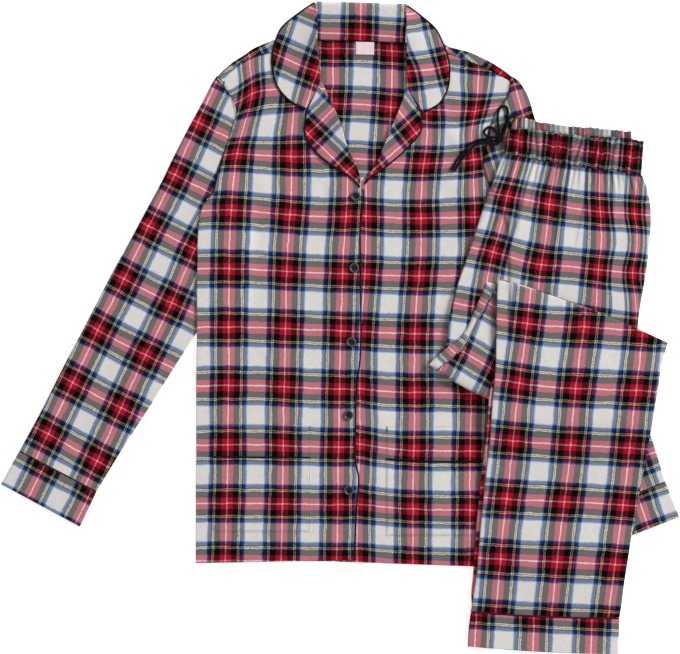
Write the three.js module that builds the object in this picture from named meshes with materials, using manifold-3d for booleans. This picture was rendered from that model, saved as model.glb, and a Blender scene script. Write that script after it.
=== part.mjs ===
// A two-piece pyjama set in brushed cotton tartan, laid out flat.
// The shirt lies front up with its sleeves spread. The trousers lie folded on its right part.
// Millimetres. X runs to the right, Y to the collar and Z up. The surface it lies on is Z = 0.
// Pieces are named for the wearer's sides, so the right ones have the lower X.
// The left and right edge of a section are those seen from above.
import * as THREE from "three";
import Module from "manifold-3d";
import { mergeVertices } from "three/addons/utils/BufferGeometryUtils.js";

// Cloth
const CLOTH = 1.2; // one wall of flannel
const GAP = 0.3; // between pieces at a seam and between layers
const LAYER = CLOTH + GAP;
const PIPING = 1.8; // width of the piping that shows
const PIPING_HEIGHT = 1.4;
const HOLLOW = 0.8; // air between the two walls of a sleeve or leg
const TUBE_HEIGHT = 2 * CLOTH + HOLLOW;
const TUBE_TOP = TUBE_HEIGHT + GAP;

// Undersides of what lies on what
const FRONT_LEVEL = LAYER;
const UPPER_LEVEL = 2 * LAYER; // what lies on a front, and the right front where it covers the left

// Cuffs
const CUFF_CLOTH = 1.4;
const CUFF_HEIGHT = 2 * CUFF_CLOTH + HOLLOW;
const SEAM_RISE = 0.6; // how far the piping stands above the cuff
const PIPED_HEIGHT = CUFF_HEIGHT + SEAM_RISE;

// Collar
const STAND_SHARE = 0.035; // the stand under the roll, as a share of the leaf's width
const NECK_SEAM_Y = 383.1;
const COLLAR_BACK_X = -33.5;
const COLLAR_BACK_WIDTH = 120.5;
const COLLAR_BACK_TURN = -1.6; // degrees that the back of the collar slopes

// Buttons
const BUTTON_RADIUS = 6.3;
const BUTTON_THICK = 2.8;
const BUTTON_RIM = 1.3;
const BUTTON_DISH = 0.7;
const BUTTON_BEVEL = 0.5;
const BUTTON_HOLE = 0.95;
const BUTTON_HOLE_OFF = 1.9;
const BUTTON_SIDES = 14;

// Label and pockets
const LABEL = { x: 20.5, y: 363, width: 24.5, depth: 18, thick: 1 };
const POCKET_PIPING_HEIGHT = 1.8;

// Trousers
const HIP_TOP = 8; // top of the hidden layers of the hips
const HIP_LEVEL = HIP_TOP + GAP;
const FOLD_LEVEL = HIP_LEVEL + LAYER;
const FOLD_HEIGHT = 4.8; // the four layers of the folded-back legs
const BAND_HEIGHT = 2.8;
const BAND_GATHERS = 22;
const BAND_GATHER_DEPTH = 1.3;
const BAND_GATHER_REACH = 0.9; // how far each gather pushes the band's upper edge out
const BACK_RUFFLES = 10;
const BACK_RUFFLE_DEPTH = 1.6;
const HIP_GATHERS = 11;
const HIP_GATHER_DEPTH = 1.4;
const HIP_GATHER_ROWS = 5; // sections down the hips over which the gathers fade
const LIP = 0.8; // how far each hidden layer shows at an edge
const DRAPE_NEAR = 30; // how far cloth stays up beside what it covers
const DRAPE_FADE = 26; // and over how far it then comes down

// Drawstring
const CORD = 3.2;
const CORD_SIDES = 8;
const CORD_LEVEL = 5.2; // its centreline where it lies on the shirt
const KNOT = { x: 212, y: 252, z: 6.8, width: 11, length: 17, height: 6.4 };

const wasm = await Module();
wasm.setup();

// A table's rows as objects with named columns.
function table(columns, ...rows) {
  return rows.map((row) => Object.fromEntries(columns.map((name, k) => [name, row[k]])));
}

// A section is a straight line across a piece, between its two edges. It may bow along Y.
const SECTION = ["leftX", "leftY", "rightX", "rightY", "bow"];

// The shirt's panels, from the hem to the shoulder.
const BACK = table(
  SECTION,
  [-192, -313, 224.5, -319, 5],
  [-192, -244, 224.5, -244],
  [-191.5, -172, 224.5, -172],
  [-191.5, -86, 224.5, -86],
  [-191, -46, 224.5, -46],
  [-190.5, -14, 224.5, -14],
  [-190.5, 24, 224.5, 24],
  [-190, 80, 224.5, 80],
  [-188.5, 132, 222.5, 135],
  [-182.5, 162, 212.5, 160],
  [-168, 182, 199, 186],
  [-158.5, 222, 189.5, 220],
  [-146.5, 257, 195.5, 257],
  [-138.5, 286, 207, 286],
  [-144, 304, 222, 306],
  [-156, 325, 226, 326],
  [-163, 334, 228, 334],
  [-144, 352, 202, 352],
  [-128.5, 362, 172.5, 366],
  [-112, 373, 146, 373],
  [-84, 384, 138, 378],
);
const BACK_SHARES = [0, 0.106, 0.212, 0.4, 0.6, 0.8, 1];

const RIGHT_FRONT = table(
  SECTION,
  [-192, -313, 17.5, -309],
  [-192, -244, 20.5, -244],
  [-192, -201, 23.5, -201],
  [-191.5, -172, 19, -172],
  [-191.5, -86, 20.5, -86],
  [-191, -46, 25, -46],
  [-190.5, -14, 26.5, -14],
  [-190.5, 24, 26.5, 24],
  [-190, 80, 26, 80],
  [-188.5, 132, 25.5, 135],
  [-182.5, 162, 29.5, 163],
  [-168, 182, 29.5, 184],
  [-158.5, 222, 20.5, 217],
  [-146.5, 257, 8.5, 244],
  [-138.5, 286, -5.5, 287],
  [-144, 304, -16, 309],
  [-156, 325, -25.5, 330],
  [-140, 346, -30, 344],
  [-126, 356.5, -34, 358],
  [-91, 366, -46, 369],
);
const RIGHT_FRONT_SHARES = [0, 0.2, 0.4, 0.6, 0.78, 0.86, 1];
const COVERING_COLUMN = 5; // from here on the right front lies on the left
const COVERING_ROWS = 12;

const LEFT_FRONT = table(
  SECTION,
  [-6, -311, 224.5, -319],
  [-3, -244, 224.5, -244],
  [-4, -172, 224.5, -172],
  [-3, -86, 224.5, -86],
  [3, -14, 224.5, -14],
  [3, 80, 224.5, 80],
  [3, 132, 222.5, 135],
  [6, 158, 212.5, 160],
  [14, 178, 199, 186],
  [44, 213, 189.5, 220],
  [62, 250, 195.5, 257],
  [76, 284, 207, 286],
  [84, 306, 222, 306],
  [87, 320, 226, 326],
  [89, 336, 207, 337],
  [91, 350, 187, 347.5],
  [97, 361, 147, 363],
);
const LEFT_FRONT_SHARES = [0, 0.25, 0.5, 0.75, 1];

// The strips of the back that turn over the shoulders, from the fold to the forward seam.
const RIGHT_STRIP = table(
  SECTION,
  [-84, 384, -84, 368.7],
  [-112, 373, -91.2, 366.6],
  [-128.5, 362, -126.3, 357.1],
  [-144, 352, -140.4, 346.5],
  [-163, 334, -156.5, 326],
);
const LEFT_STRIP = table(
  SECTION,
  [138, 378, 138, 367.1],
  [146, 373, 147.2, 363.6],
  [172.5, 366, 187.3, 348.1],
  [202, 352, 207.3, 337.6],
  [228, 334, 226.4, 326.8],
);
const STRIP_SHARES = [0, 0.12, 0.13, 1];

// The sleeves, from the armhole to the cuff seam.
const RIGHT_SLEEVE = table(
  SECTION,
  [-164, 335, -130, 300],
  [-172, 322, -131, 282],
  [-179, 308, -135, 258],
  [-189, 289, -146, 226],
  [-201.5, 266, -156, 192],
  [-221, 228, -168, 156],
  [-239, 191, -168, 118],
  [-259, 154, -166, 80],
  [-279.5, 115.5, -172, 42],
  [-297, 84, -182, 10],
  [-314, 52, -195, -13],
  [-340, 1, -222, -55],
  [-366, -48, -250, -100],
  [-398, -111.5, -290, -162],
  [-426, -163, -323.5, -217],
);
const LEFT_SLEEVE = table(
  SECTION,
  [229, 334, 198, 304],
  [239, 326, 190, 280],
  [250.5, 306, 182, 250],
  [259, 277.5, 180, 215],
  [270, 247, 184, 185],
  [283, 212, 194, 160],
  [297, 173, 205, 130],
  [318, 116, 213, 80],
  [339, 58, 216, 24],
  [356, 11, 220, -14],
  [368, -22, 226, -32],
  [390, -80, 252, -92],
  [412, -140, 282, -155],
  [432, -204, 323.5, -246.5],
);
const TUBE_SHARES = [0, 0.05, 0.3, 0.5, 0.7, 0.95, 1];
const HIDDEN_SLEEVE = [5, 12]; // sections of the right sleeve that the body partly covers
const ARMHOLE_FOOT = [-178.5, 168];
const BODY_MIDDLE_X = 20;
const CUT_BEYOND = 5; // how far a cutter reaches past what it cuts
const RIGHT_ARMHOLE = [10, 18]; // sections of the back beside the sleeve's head
const LEFT_ARMHOLE = [4, 18];

const RIGHT_CUFF = table(
  SECTION,
  [-427, -165, -324.5, -219],
  [-439.5, -187, -335.5, -242.5],
  [-451, -208, -346, -264.5],
);
const LEFT_CUFF = table(
  SECTION,
  [433, -206.2, 324.5, -248.7],
  [442.5, -229.5, 333, -271.5],
  [451, -251.5, 341.5, -294],
);

// The collar's leaves, from the back of the neck to the notch, and the lapels, from the notch down.
// The left edge of each section is the roll line. base is the underside of the other edge.
const ROLLED = ["leftX", "leftY", "rightX", "rightY", "rise", "base"];
const RIGHT_LEAF = table(
  ROLLED,
  [-29, 429, -34, 431.5, 5, 3],
  [-30, 418, -54.5, 417.5, 5, 3],
  [-30.5, 400, -76.5, 399, 5, 3],
  [-30, 378, -86, 378, 5, 3],
  [-28.5, 360, -90, 357.5, 5, 3],
  [-27, 345, -88, 337, 4.6, 3],
  [-26, 335, -81.5, 319, 4, 3],
  [-27, 328, -69, 304.5, 3.4, 3],
  [-27.5, 325, -55, 295, 3, 3],
  [-28, 323, -45, 292, 2.8, 3],
);
const LEFT_LEAF = table(
  ROLLED,
  [85, 425, 88.5, 427.5, 5, 3],
  [87.5, 414, 108, 413, 5, 3],
  [87.5, 396, 126.5, 396, 5, 3],
  [88, 376, 136.5, 376, 5, 3],
  [88, 358, 142.5, 358, 5, 3],
  [88, 342, 144.5, 340, 4.6, 3],
  [87.5, 330, 142, 318.5, 4, 3],
  [88, 324, 132.5, 300.5, 3.4, 3],
  [88.5, 321, 119.5, 291.5, 3, 3],
  [89, 319, 109.5, 287, 2.8, 3],
);
const LEAF_SHARES = [0, STAND_SHARE, 2 * STAND_SHARE, 0.3, 0.6, 1];
const RIGHT_LAPEL = table(
  ROLLED,
  [-28.4, 321.9, -44, 288.5, 2.6, 3],
  [-22, 313, -46, 275, 2.6, 3],
  [-15, 302, -46.5, 260, 2.6, 3],
  [-5.5, 287, -42, 248.5, 2.6, 3],
  [2, 265, -29.5, 231, 2.4, 3.6],
  [8.5, 244, -7.5, 214.5, 1.8, 4.6],
  [15, 228, 9, 204.5, 1.2, 4.6],
  [22, 214, 22, 193.5, 0.6, 4.6],
  [27, 199, 26.5, 187, 0.2, 4.6],
);
const LEFT_LAPEL = table(
  ROLLED,
  [88.8, 318.2, 108, 284.5, 2.6, 3],
  [86.5, 311, 106.5, 275, 2.6, 3],
  [83, 303.5, 107, 264, 2.6, 3],
  [78, 290, 99.5, 251.5, 2.6, 3],
  [71, 273.5, 83.5, 234.5, 2.2, 3],
  [63, 254, 66, 219.5, 1.6, 3],
  [54, 232.5, 51.5, 208, 1, 3],
  [46, 216, 42, 203, 0.4, 3],
);
const LAPEL_SHARES = [0, 0.15, 0.4, 0.7, 1];

// The back of the collar in section: out from the neck seam, over the roll and down behind.
const COLLAR_BACK = table(
  ["out", "up"],
  [0.6, 0.8],
  [8, 2.6],
  [20, 4.2],
  [34, 6.4],
  [44, 8],
  [48.6, 7.6],
  [50.2, 5.2],
  [49.6, 2.6],
  [46, 0.9],
  [18, 0.7],
);

const BUTTONS = table(["x", "y"], [20.5, 175], [18.5, 79.5], [14.5, -19], [11, -116], [11.5, -216]);

const POCKETS = table(
  ["side", "leftX", "rightX", "topY", "leftPipingY", "rightPipingY", "bottomY", "bow"],
  ["right", -170.5, -39, -129.5, -171.8, -173, -271.5, 0],
  ["left", 61, 195, -130.5, -174.5, -177, -276.5, -2.5],
);
const POCKET_SHARES = [0, 0.25, 0.5, 0.75, 1];

// The hips, from the waist seam to the lower fold, and the legs folded back over them.
const HIPS = table(
  SECTION,
  [216, 227, 398, 199, 0],
  [204.5, 196, 407, 184, 0],
  [192.5, 164.5, 411.5, 160, 0],
  [181.5, 130, 411.5, 130, 0],
  [170, 95.5, 408.5, 95.5, 0],
  [158, 61, 403.5, 61, 0],
  [149.5, 32, 398, 31, 0],
  [144, 1, 394.5, 2, 0],
  [141, -22, 394, -25, 0],
  [126, -41, 394, -62, -14],
  [119, -49, 393, -92, -32],
);
const HIP_SHARES = Array.from({ length: 2 * HIP_GATHERS + 1 }, (_, k) => k / (2 * HIP_GATHERS));
const INNER_HIP_SHARES = [0, 0.15, 0.3, 0.45, 0.6, 0.75, 0.9, 1];
const FOLDED_BACK = table(
  SECTION,
  [119, -49, 393, -92, -32],
  [128, -39, 405, -70, -16],
  [143, -26.5, 418, -46, -3],
  [166, -6, 428, -30, 0],
  [181, 27, 429, -22, 2],
  [195, 60, 428, -18, 5],
);

// The lower legs, from the upper fold to the hem's seam.
// under is the top of the lower leg, floor the least height of its underside,
// and out is how far it shows at the left of the upper one.
const LEGS = table(
  [...SECTION, "under", "floor", "out"],
  [209, 64, 434.5, -20, 6, 18, 14.9, 3],
  [207.5, 32, 431, -31, 4, 18.1, 14.9, 4],
  [207, 1, 426, -50, 2, 18.1, 14.9, 5],
  [206, -50, 422, -76, 0, 18.1, 14.9, 5],
  [203, -85, 418, -100, 0, 18.1, 14.9, 5],
  [200.5, -118, 414, -126, 0, 17.6, 14.9, 5],
  [198.5, -150, 409, -155, 0, 12.8, 9, 5],
  [195.5, -178, 404, -184, 0, 9.4, 5.6, 5],
  [192.5, -204, 399, -213, 0, 8.6, 0, 5],
  [187, -258, 389, -267, 0, 8.4, 0, 5],
  [184, -292, 383, -302, 0, 8.3, 0, 5],
  [181.5, -325, 377.5, -337, 0, 7.4, 0, 4],
  [178, -350, 374.5, -362, 0, 5.4, 0, 3],
  [173.5, -376.5, 371, -385, -2, 3.6, 0, -2],
);
const HIDDEN_HEM = table(
  [...SECTION, "under", "floor", "out"],
  [170.5, -402, 370.5, -409, -2, 3.6, 0, -2],
  [169.5, -421, 370, -431, -2, 3.6, 0, -2],
);
const LEG_SHARES = [0, 0.05, 0.2, 0.35, 0.5, 0.65, 0.8, 0.95, 1];
const UNDER_LEG_SHARES = [0, 0.15, 0.32, 0.5, 0.68, 0.85, 1];
const UNDER_LEG_INSET = 4; // how far it is hidden at the right
const HEM_BASE = LEGS.at(-1).under + GAP;
const HEM = table(
  SECTION,
  [173.2, -378.7, 371, -387.2, -2],
  [170.5, -402, 370.5, -409, -2],
  [169.5, -423.5, 370, -434, -2],
);

// The waistbands, from the centre front to the side. The left edge of each section is the upper one.
const FRONT_BAND = table(
  SECTION,
  [223, 263, 217, 230.5],
  [248, 264.5, 245, 226],
  [276, 260.5, 272, 220.5],
  [309.5, 256.5, 302.5, 216],
  [345.5, 254, 336, 211],
  [378, 252.5, 367, 205.5],
  [403, 247, 398.5, 202.5],
);
const BACK_BAND = table(
  SECTION,
  [229, 271, 219, 233],
  [234, 277.5, 228, 231.5],
  [248, 278, 245, 229],
  [262, 274, 262, 225],
  [284.5, 270.5, 284, 221],
  [311, 267.5, 311, 217],
  [340, 265.5, 340, 213],
  [367, 263, 367, 208],
  [387, 260.5, 388, 206],
);
const BAND_SHARES = [0, 0.14, 0.86, 1];
const BACK_BAND_SHARES = [0, 0.2, 0.6, 1];

// The drawstring's routes. lift is above the level at which it lies on the shirt.
const ROUTE = ["x", "y", "lift"];
const ROUTES = {
  drawstring_tail_front: table(
    ROUTE,
    [210, 249.6, 0],
    [205, 248.4, 0],
    [198, 249.8, 0],
    [190, 250.6, 0],
    [181, 248.6, 0],
    [174, 244.5, 0],
    [165, 235, 0],
    [156, 224, 0],
    [147.5, 209.5, 0],
  ),
  drawstring_tail_back: table(
    ROUTE,
    [210.5, 245.4, 0],
    [205.5, 244, 0],
    [198, 245.4, 0],
    [190, 246.3, 0],
    [182.5, 244.2, 0],
    [176.5, 240.8, 0],
    [168, 231.6, 0],
    [159.6, 221.2, 0],
    [151.6, 208, 0],
  ),
  drawstring_loop_up: table(
    ROUTE,
    [211.5, 258, 0],
    [210.6, 264, 0],
    [209.4, 274, 0],
    [209.6, 284, 0],
    [212.5, 292, 0],
    [217.5, 294.5, 0],
    [222, 291, 0],
    [222.4, 283, 0],
    [220, 273, 0.4],
    [217, 265, 0.6],
    [214.8, 257, 0.4],
  ),
  drawstring_loop_side: table(
    ROUTE,
    [208.4, 256.6, 0.4],
    [205.6, 262, 0.2],
    [202, 266, 0],
    [197, 266.6, 0],
    [192.6, 263, 0],
    [191.4, 258, 0],
    [195, 254.8, 0],
    [200, 253.6, 0],
    [208, 252.6, 0],
  ),
  drawstring_strand: table(
    ROUTE,
    [233.5, 280.8, 0.4],
    [227.5, 281.6, 2.6],
    [223.4, 276, 4.4],
    [220.6, 268, 4.4],
    [218.2, 261, 4.2],
    [215, 254.6, 3.2],
  ),
};
const STEPS_PER_POINT = 1.6;

// Geometry from shared vertices and triangles, turned to face out.
function closed(vertices, faces) {
  const corner = (k) => new THREE.Vector3().fromArray(vertices, 3 * faces[k]);
  let volume = 0;
  for (let k = 0; k < faces.length; k += 3) {
    volume += corner(k).dot(corner(k + 1).cross(corner(k + 2)));
  }
  const geometry = new THREE.BufferGeometry();
  geometry.setAttribute("position", new THREE.Float32BufferAttribute(vertices, 3));
  geometry.setIndex(volume < 0 ? faces.toReversed() : faces);
  return geometry;
}

// Adds a flat face with any number of corners as a fan.
function addFace(faces, ...corners) {
  for (let k = 1; k + 1 < corners.length; k++) {
    faces.push(corners[0], corners[k], corners[k + 1]);
  }
}

// A place on a section, at a share of the way from its left edge to its right.
function placeOn(row, share) {
  const x = THREE.MathUtils.lerp(row.leftX, row.rightX, share);
  const y = THREE.MathUtils.lerp(row.leftY, row.rightY, share);
  return [x, y + 4 * share * (1 - share) * (row.bow ?? 0)];
}

function grid(rows, shares) {
  return rows.map((row) => shares.map((share) => placeOn(row, share)));
}

// A table sampled at a new number of sections, on a smooth curve through its own.
function resampled(rows, count) {
  return Array.from({ length: count }, (_, n) => {
    const at = (n / (count - 1)) * (rows.length - 1);
    const k = Math.min(Math.floor(at), rows.length - 2);
    const t = at - k;
    const row = (index) => rows[THREE.MathUtils.clamp(index, 0, rows.length - 1)];
    const value = (name) => {
      const [a, b, c, d] = [row(k - 1)[name], row(k)[name], row(k + 1)[name], row(k + 2)[name]];
      const bend = (2 * a - 5 * b + 4 * c - d) * t * t + (3 * b - a - 3 * c + d) * t * t * t;
      return b + ((c - a) * t + bend) / 2;
    };
    return Object.fromEntries(["leftX", "leftY", "rightX", "rightY"].map((name) => [name, value(name)]));
  });
}

// A section part of the way from one to another.
function between(from, to, share) {
  const names = ["leftX", "leftY", "rightX", "rightY"];
  const row = names.map((name) => [name, THREE.MathUtils.lerp(from[name], to[name], share)]);
  return { ...Object.fromEntries(row), bow: from.bow };
}

// A cloth panel: a grid of places with an underside and a top, closed all round.
function panel(places, bottom, top) {
  const rows = places.length;
  const columns = places[0].length;
  const vertices = [];
  for (const level of [bottom, top]) {
    places.forEach((row, i) => row.forEach(([x, y], j) => vertices.push(x, y, level(x, y, i, j))));
  }
  const at = (layer, i, j) => (layer * rows + i) * columns + j;
  const faces = [];
  for (let i = 0; i + 1 < rows; i++) {
    for (let j = 0; j + 1 < columns; j++) {
      addFace(faces, at(1, i, j), at(1, i, j + 1), at(1, i + 1, j + 1), at(1, i + 1, j));
      addFace(faces, at(0, i, j), at(0, i + 1, j), at(0, i + 1, j + 1), at(0, i, j + 1));
    }
  }
  for (let i = 0; i + 1 < rows; i++) {
    const last = columns - 1;
    addFace(faces, at(0, i, 0), at(1, i, 0), at(1, i + 1, 0), at(0, i + 1, 0));
    addFace(faces, at(0, i, last), at(0, i + 1, last), at(1, i + 1, last), at(1, i, last));
  }
  for (let j = 0; j + 1 < columns; j++) {
    const last = rows - 1;
    addFace(faces, at(0, 0, j), at(0, 0, j + 1), at(1, 0, j + 1), at(1, 0, j));
    addFace(faces, at(0, last, j), at(1, last, j), at(1, last, j + 1), at(0, last, j + 1));
  }
  return closed(vertices, faces);
}

// A panel of even thickness on a level that may vary.
function cloth(rows, shares, level, thick = CLOTH) {
  return panel(grid(rows, shares), level, (x, y, i, j) => level(x, y, i, j) + thick);
}

function doubleArea(places) {
  return places.reduce((sum, [x, y], k) => {
    const [nextX, nextY] = places[(k + 1) % places.length];
    return sum + x * nextY - nextX * y;
  }, 0);
}

// The border of a grid, once round, with the direction outward at each of its places.
function border(places) {
  const rows = places.length - 1;
  const columns = places[0].length - 1;
  const around = [];
  for (let j = 0; j < columns; j++) around.push([0, j]);
  for (let i = 0; i < rows; i++) around.push([i, columns]);
  for (let j = columns; j > 0; j--) around.push([rows, j]);
  for (let i = rows; i > 0; i--) around.push([i, 0]);
  const loop = around.map(([i, j]) => places[i][j]);
  const side = Math.sign(doubleArea(loop));
  return around.map(([i, j], k) => {
    const before = loop[(k + loop.length - 1) % loop.length];
    const after = loop[(k + 1) % loop.length];
    const long = side * Math.hypot(after[0] - before[0], after[1] - before[1]);
    return { i, j, outX: (after[1] - before[1]) / long, outY: (before[0] - after[0]) / long };
  });
}

// Folded layers as one solid, whose edge shows them as rounded lips.
function layered(places, bottom, top, layers) {
  const columns = places[0].length;
  const count = places.length * columns;
  const vertices = [];
  for (const level of [bottom, top]) {
    places.forEach((row, i) => row.forEach(([x, y], j) => vertices.push(x, y, level(x, y, i, j))));
  }
  const around = border(places);
  const rings = [around.map(({ i, j }) => i * columns + j)];
  for (let k = 1; k < 2 * layers; k++) {
    const reach = k % 2 ? LIP : 0;
    const ring = around.map(({ i, j, outX, outY }) => {
      const [x, y] = places[i][j];
      const height = THREE.MathUtils.lerp(bottom(x, y, i, j), top(x, y, i, j), k / (2 * layers));
      vertices.push(x + outX * reach, y + outY * reach, height);
      return vertices.length / 3 - 1;
    });
    rings.push(ring);
  }
  rings.push(around.map(({ i, j }) => count + i * columns + j));
  const faces = [];
  for (let i = 0; i + 1 < places.length; i++) {
    for (let j = 0; j + 1 < columns; j++) {
      const a = i * columns + j;
      addFace(faces, count + a, count + a + columns, count + a + columns + 1, count + a + 1);
      addFace(faces, a, a + 1, a + columns + 1, a + columns);
    }
  }
  for (let k = 0; k + 1 < rings.length; k++) {
    for (let n = 0; n < around.length; n++) {
      const next = (n + 1) % around.length;
      addFace(faces, rings[k][n], rings[k + 1][n], rings[k + 1][next], rings[k][next]);
    }
  }
  return closed(vertices, faces);
}

// A flat tube of cloth, open at its end, and at its start too unless it is folded there.
function flatTube(rows, shares, level, height, wall, folded = false) {
  const middle = shares.slice(1, -1);
  const loop = (row, i, inset) => {
    const long = Math.hypot(row.rightX - row.leftX, row.rightY - row.leftY);
    const place = (share, up) => [...placeOn(row, share), level(i) + up];
    return [
      place(inset / long, height / 2),
      ...middle.map((share) => place(share, height - inset)),
      place(1 - inset / long, height / 2),
      ...middle.toReversed().map((share) => place(share, inset)),
    ];
  };
  const hollowFrom = folded ? 1 : 0;
  const outside = rows.map((row, i) => loop(row, i, 0));
  const inside = rows.slice(hollowFrom).map((row, i) => loop(row, i + hollowFrom, wall));
  const size = outside[0].length;
  const faces = [];
  const skin = (start, count, turned) => {
    for (let i = start; i + 1 < start + count; i++) {
      for (let k = 0; k < size; k++) {
        const next = (k + 1) % size;
        const corners = [i * size + k, i * size + next, (i + 1) * size + next, (i + 1) * size + k];
        addFace(faces, ...(turned ? corners.reverse() : corners));
      }
    }
  };
  const rim = (a, b) => {
    for (let k = 0; k < size; k++) {
      const next = (k + 1) % size;
      addFace(faces, a * size + k, a * size + next, b * size + next, b * size + k);
    }
  };
  const cap = (ring, turned) => {
    const add = (...corners) => {
      const placed = corners.map((corner) => ring * size + corner);
      addFace(faces, ...(turned ? placed.reverse() : placed));
    };
    const far = middle.length;
    add(0, 1, size - 1);
    for (let k = 1; k < far; k++) add(k, k + 1, size - k - 1, size - k);
    add(far, far + 1, far + 2);
  };
  const firstInside = rows.length;
  const lastInside = rows.length + inside.length - 1;
  skin(0, rows.length, false);
  skin(firstInside, inside.length, true);
  rim(rows.length - 1, lastInside);
  if (folded) {
    cap(0, true);
    cap(firstInside, false);
  } else {
    rim(firstInside, 0);
  }
  return closed([...outside, ...inside].flat(2), faces);
}

// Places moved to the right of the way they run.
function moved(places, distance) {
  return places.map(([x, y], k) => {
    const before = places[Math.max(k - 1, 0)];
    const after = places[Math.min(k + 1, places.length - 1)];
    const long = Math.hypot(after[0] - before[0], after[1] - before[1]);
    const right = [(after[1] - before[1]) / long, (before[0] - after[0]) / long];
    return [x + right[0] * distance, y + right[1] * distance];
  });
}

// Piping laid along an edge, a gap clear of it, to the right of the way the edge runs.
function edging(places, levels, side) {
  const near = moved(places, side * GAP);
  const far = moved(places, side * (GAP + PIPING));
  const level = (x, y, i, j) => levels[j];
  return panel([near, far], level, (x, y, i, j) => levels[j] + PIPING_HEIGHT);
}

function leftEdge(rows) {
  return rows.map((row) => [row.leftX, row.leftY]);
}

function rightEdge(rows) {
  return rows.map((row) => [row.rightX, row.rightY]);
}

function outlineOf(rows) {
  return [...leftEdge(rows), ...rightEdge(rows).toReversed()];
}

// How far a place lies outside an outline, or 0 inside it.
function outside(outline, x, y) {
  let nearest = Infinity;
  let within = false;
  outline.forEach(([ax, ay], k) => {
    const [bx, by] = outline[(k + 1) % outline.length];
    const [dx, dy] = [bx - ax, by - ay];
    const along = ((x - ax) * dx + (y - ay) * dy) / (dx * dx + dy * dy || 1);
    const t = THREE.MathUtils.clamp(along, 0, 1);
    nearest = Math.min(nearest, Math.hypot(x - ax - t * dx, y - ay - t * dy));
    if (ay > y !== by > y && x < ax + ((y - ay) * dx) / dy) within = !within;
  });
  return within ? 0 : nearest;
}

// The height that cloth takes over the pieces beneath it. It comes down softly beside them.
function over(pieces, x, y) {
  const heights = pieces.map(({ outline, top, near, fade }) => {
    const away = outside(outline, x, y);
    return top * (1 - THREE.MathUtils.smoothstep(away, near, near + fade));
  });
  return Math.max(0, ...heights);
}

const SLEEVE_UNDER_BODY = [
  {
    outline: outlineOf(RIGHT_SLEEVE.slice(...HIDDEN_SLEEVE)),
    top: TUBE_TOP + GAP,
    near: DRAPE_NEAR + 4,
    fade: DRAPE_FADE,
  },
];

const UNDER_TROUSERS = [
  { outline: outlineOf(BACK), top: UPPER_LEVEL, near: DRAPE_NEAR, fade: DRAPE_FADE },
  { outline: outlineOf(LEFT_SLEEVE), top: TUBE_TOP, near: DRAPE_NEAR, fade: DRAPE_FADE },
  {
    outline: outlineOf([LEFT_SLEEVE.at(-1), ...LEFT_CUFF]),
    top: PIPED_HEIGHT + GAP,
    near: DRAPE_NEAR,
    fade: DRAPE_FADE,
  },
  {
    outline: outlineOf([
      { leftX: 61, leftY: -130.5, rightX: 195, rightY: -130.5 },
      { leftX: 61, leftY: -276.5, rightX: 195, rightY: -276.5 },
    ]),
    top: UPPER_LEVEL + POCKET_PIPING_HEIGHT + GAP,
    near: DRAPE_NEAR - 6,
    fade: DRAPE_FADE,
  },
];

// Joins and cuts
function solid(geometry) {
  const bare = geometry.index ? geometry.toNonIndexed() : geometry.clone();
  bare.deleteAttribute("normal");
  bare.deleteAttribute("uv");
  const merged = mergeVertices(bare, 1e-4);
  return new wasm.Manifold(
    new wasm.Mesh({
      numProp: 3,
      vertProperties: merged.attributes.position.array,
      triVerts: new Uint32Array(merged.index.array),
    }),
  );
}

function geometryOf(manifold) {
  const mesh = manifold.getMesh();
  const geometry = new THREE.BufferGeometry();
  geometry.setAttribute("position", new THREE.BufferAttribute(mesh.vertProperties, 3));
  geometry.setIndex(new THREE.BufferAttribute(mesh.triVerts, 1));
  return geometry;
}

function joined(first, ...others) {
  return geometryOf(others.reduce((sum, other) => sum.add(solid(other)), solid(first)));
}

function cut(body, ...tools) {
  return geometryOf(tools.reduce((rest, tool) => rest.subtract(solid(tool)), solid(body)));
}

function prism(places, from, to) {
  const shape = new THREE.Shape(places.map(([x, y]) => new THREE.Vector2(x, y)));
  const geometry = new THREE.ExtrudeGeometry(shape, { depth: to - from, bevelEnabled: false });
  return geometry.translate(0, 0, from);
}

// The shirt
function bodyLevel(x, y) {
  return over(SLEEVE_UNDER_BODY, x, y);
}

function shoulderStrip(rows) {
  const bottom = (x, y, i, j) => (j < 2 ? 0 : FRONT_LEVEL);
  return panel(grid(rows, STRIP_SHARES), bottom, () => FRONT_LEVEL + CLOTH);
}

function back() {
  const body = cloth(BACK, BACK_SHARES, bodyLevel);
  return joined(body, shoulderStrip(RIGHT_STRIP), shoulderStrip(LEFT_STRIP));
}

function rightFront() {
  return cloth(RIGHT_FRONT, RIGHT_FRONT_SHARES, (x, y, i, j) => {
    const covering = j >= COVERING_COLUMN && i <= COVERING_ROWS;
    return (covering ? UPPER_LEVEL : FRONT_LEVEL) + bodyLevel(x, y);
  });
}

function leftFront() {
  return cloth(LEFT_FRONT, LEFT_FRONT_SHARES, () => FRONT_LEVEL);
}

function rolledLevel(rows, shares) {
  return (x, y, i, j) => rows[i].base + rows[i].rise * (1 - shares[j]) ** 2;
}

function lapel(rows) {
  return cloth(rows, LAPEL_SHARES, rolledLevel(rows, LAPEL_SHARES));
}

function collarLeaf(rows) {
  const level = rolledLevel(rows, LEAF_SHARES);
  const bottom = (x, y, i, j) => (j < 2 ? rows[i].base : level(x, y, i, j));
  return panel(grid(rows, LEAF_SHARES), bottom, (x, y, i, j) => level(x, y, i, j) + CLOTH);
}

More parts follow.
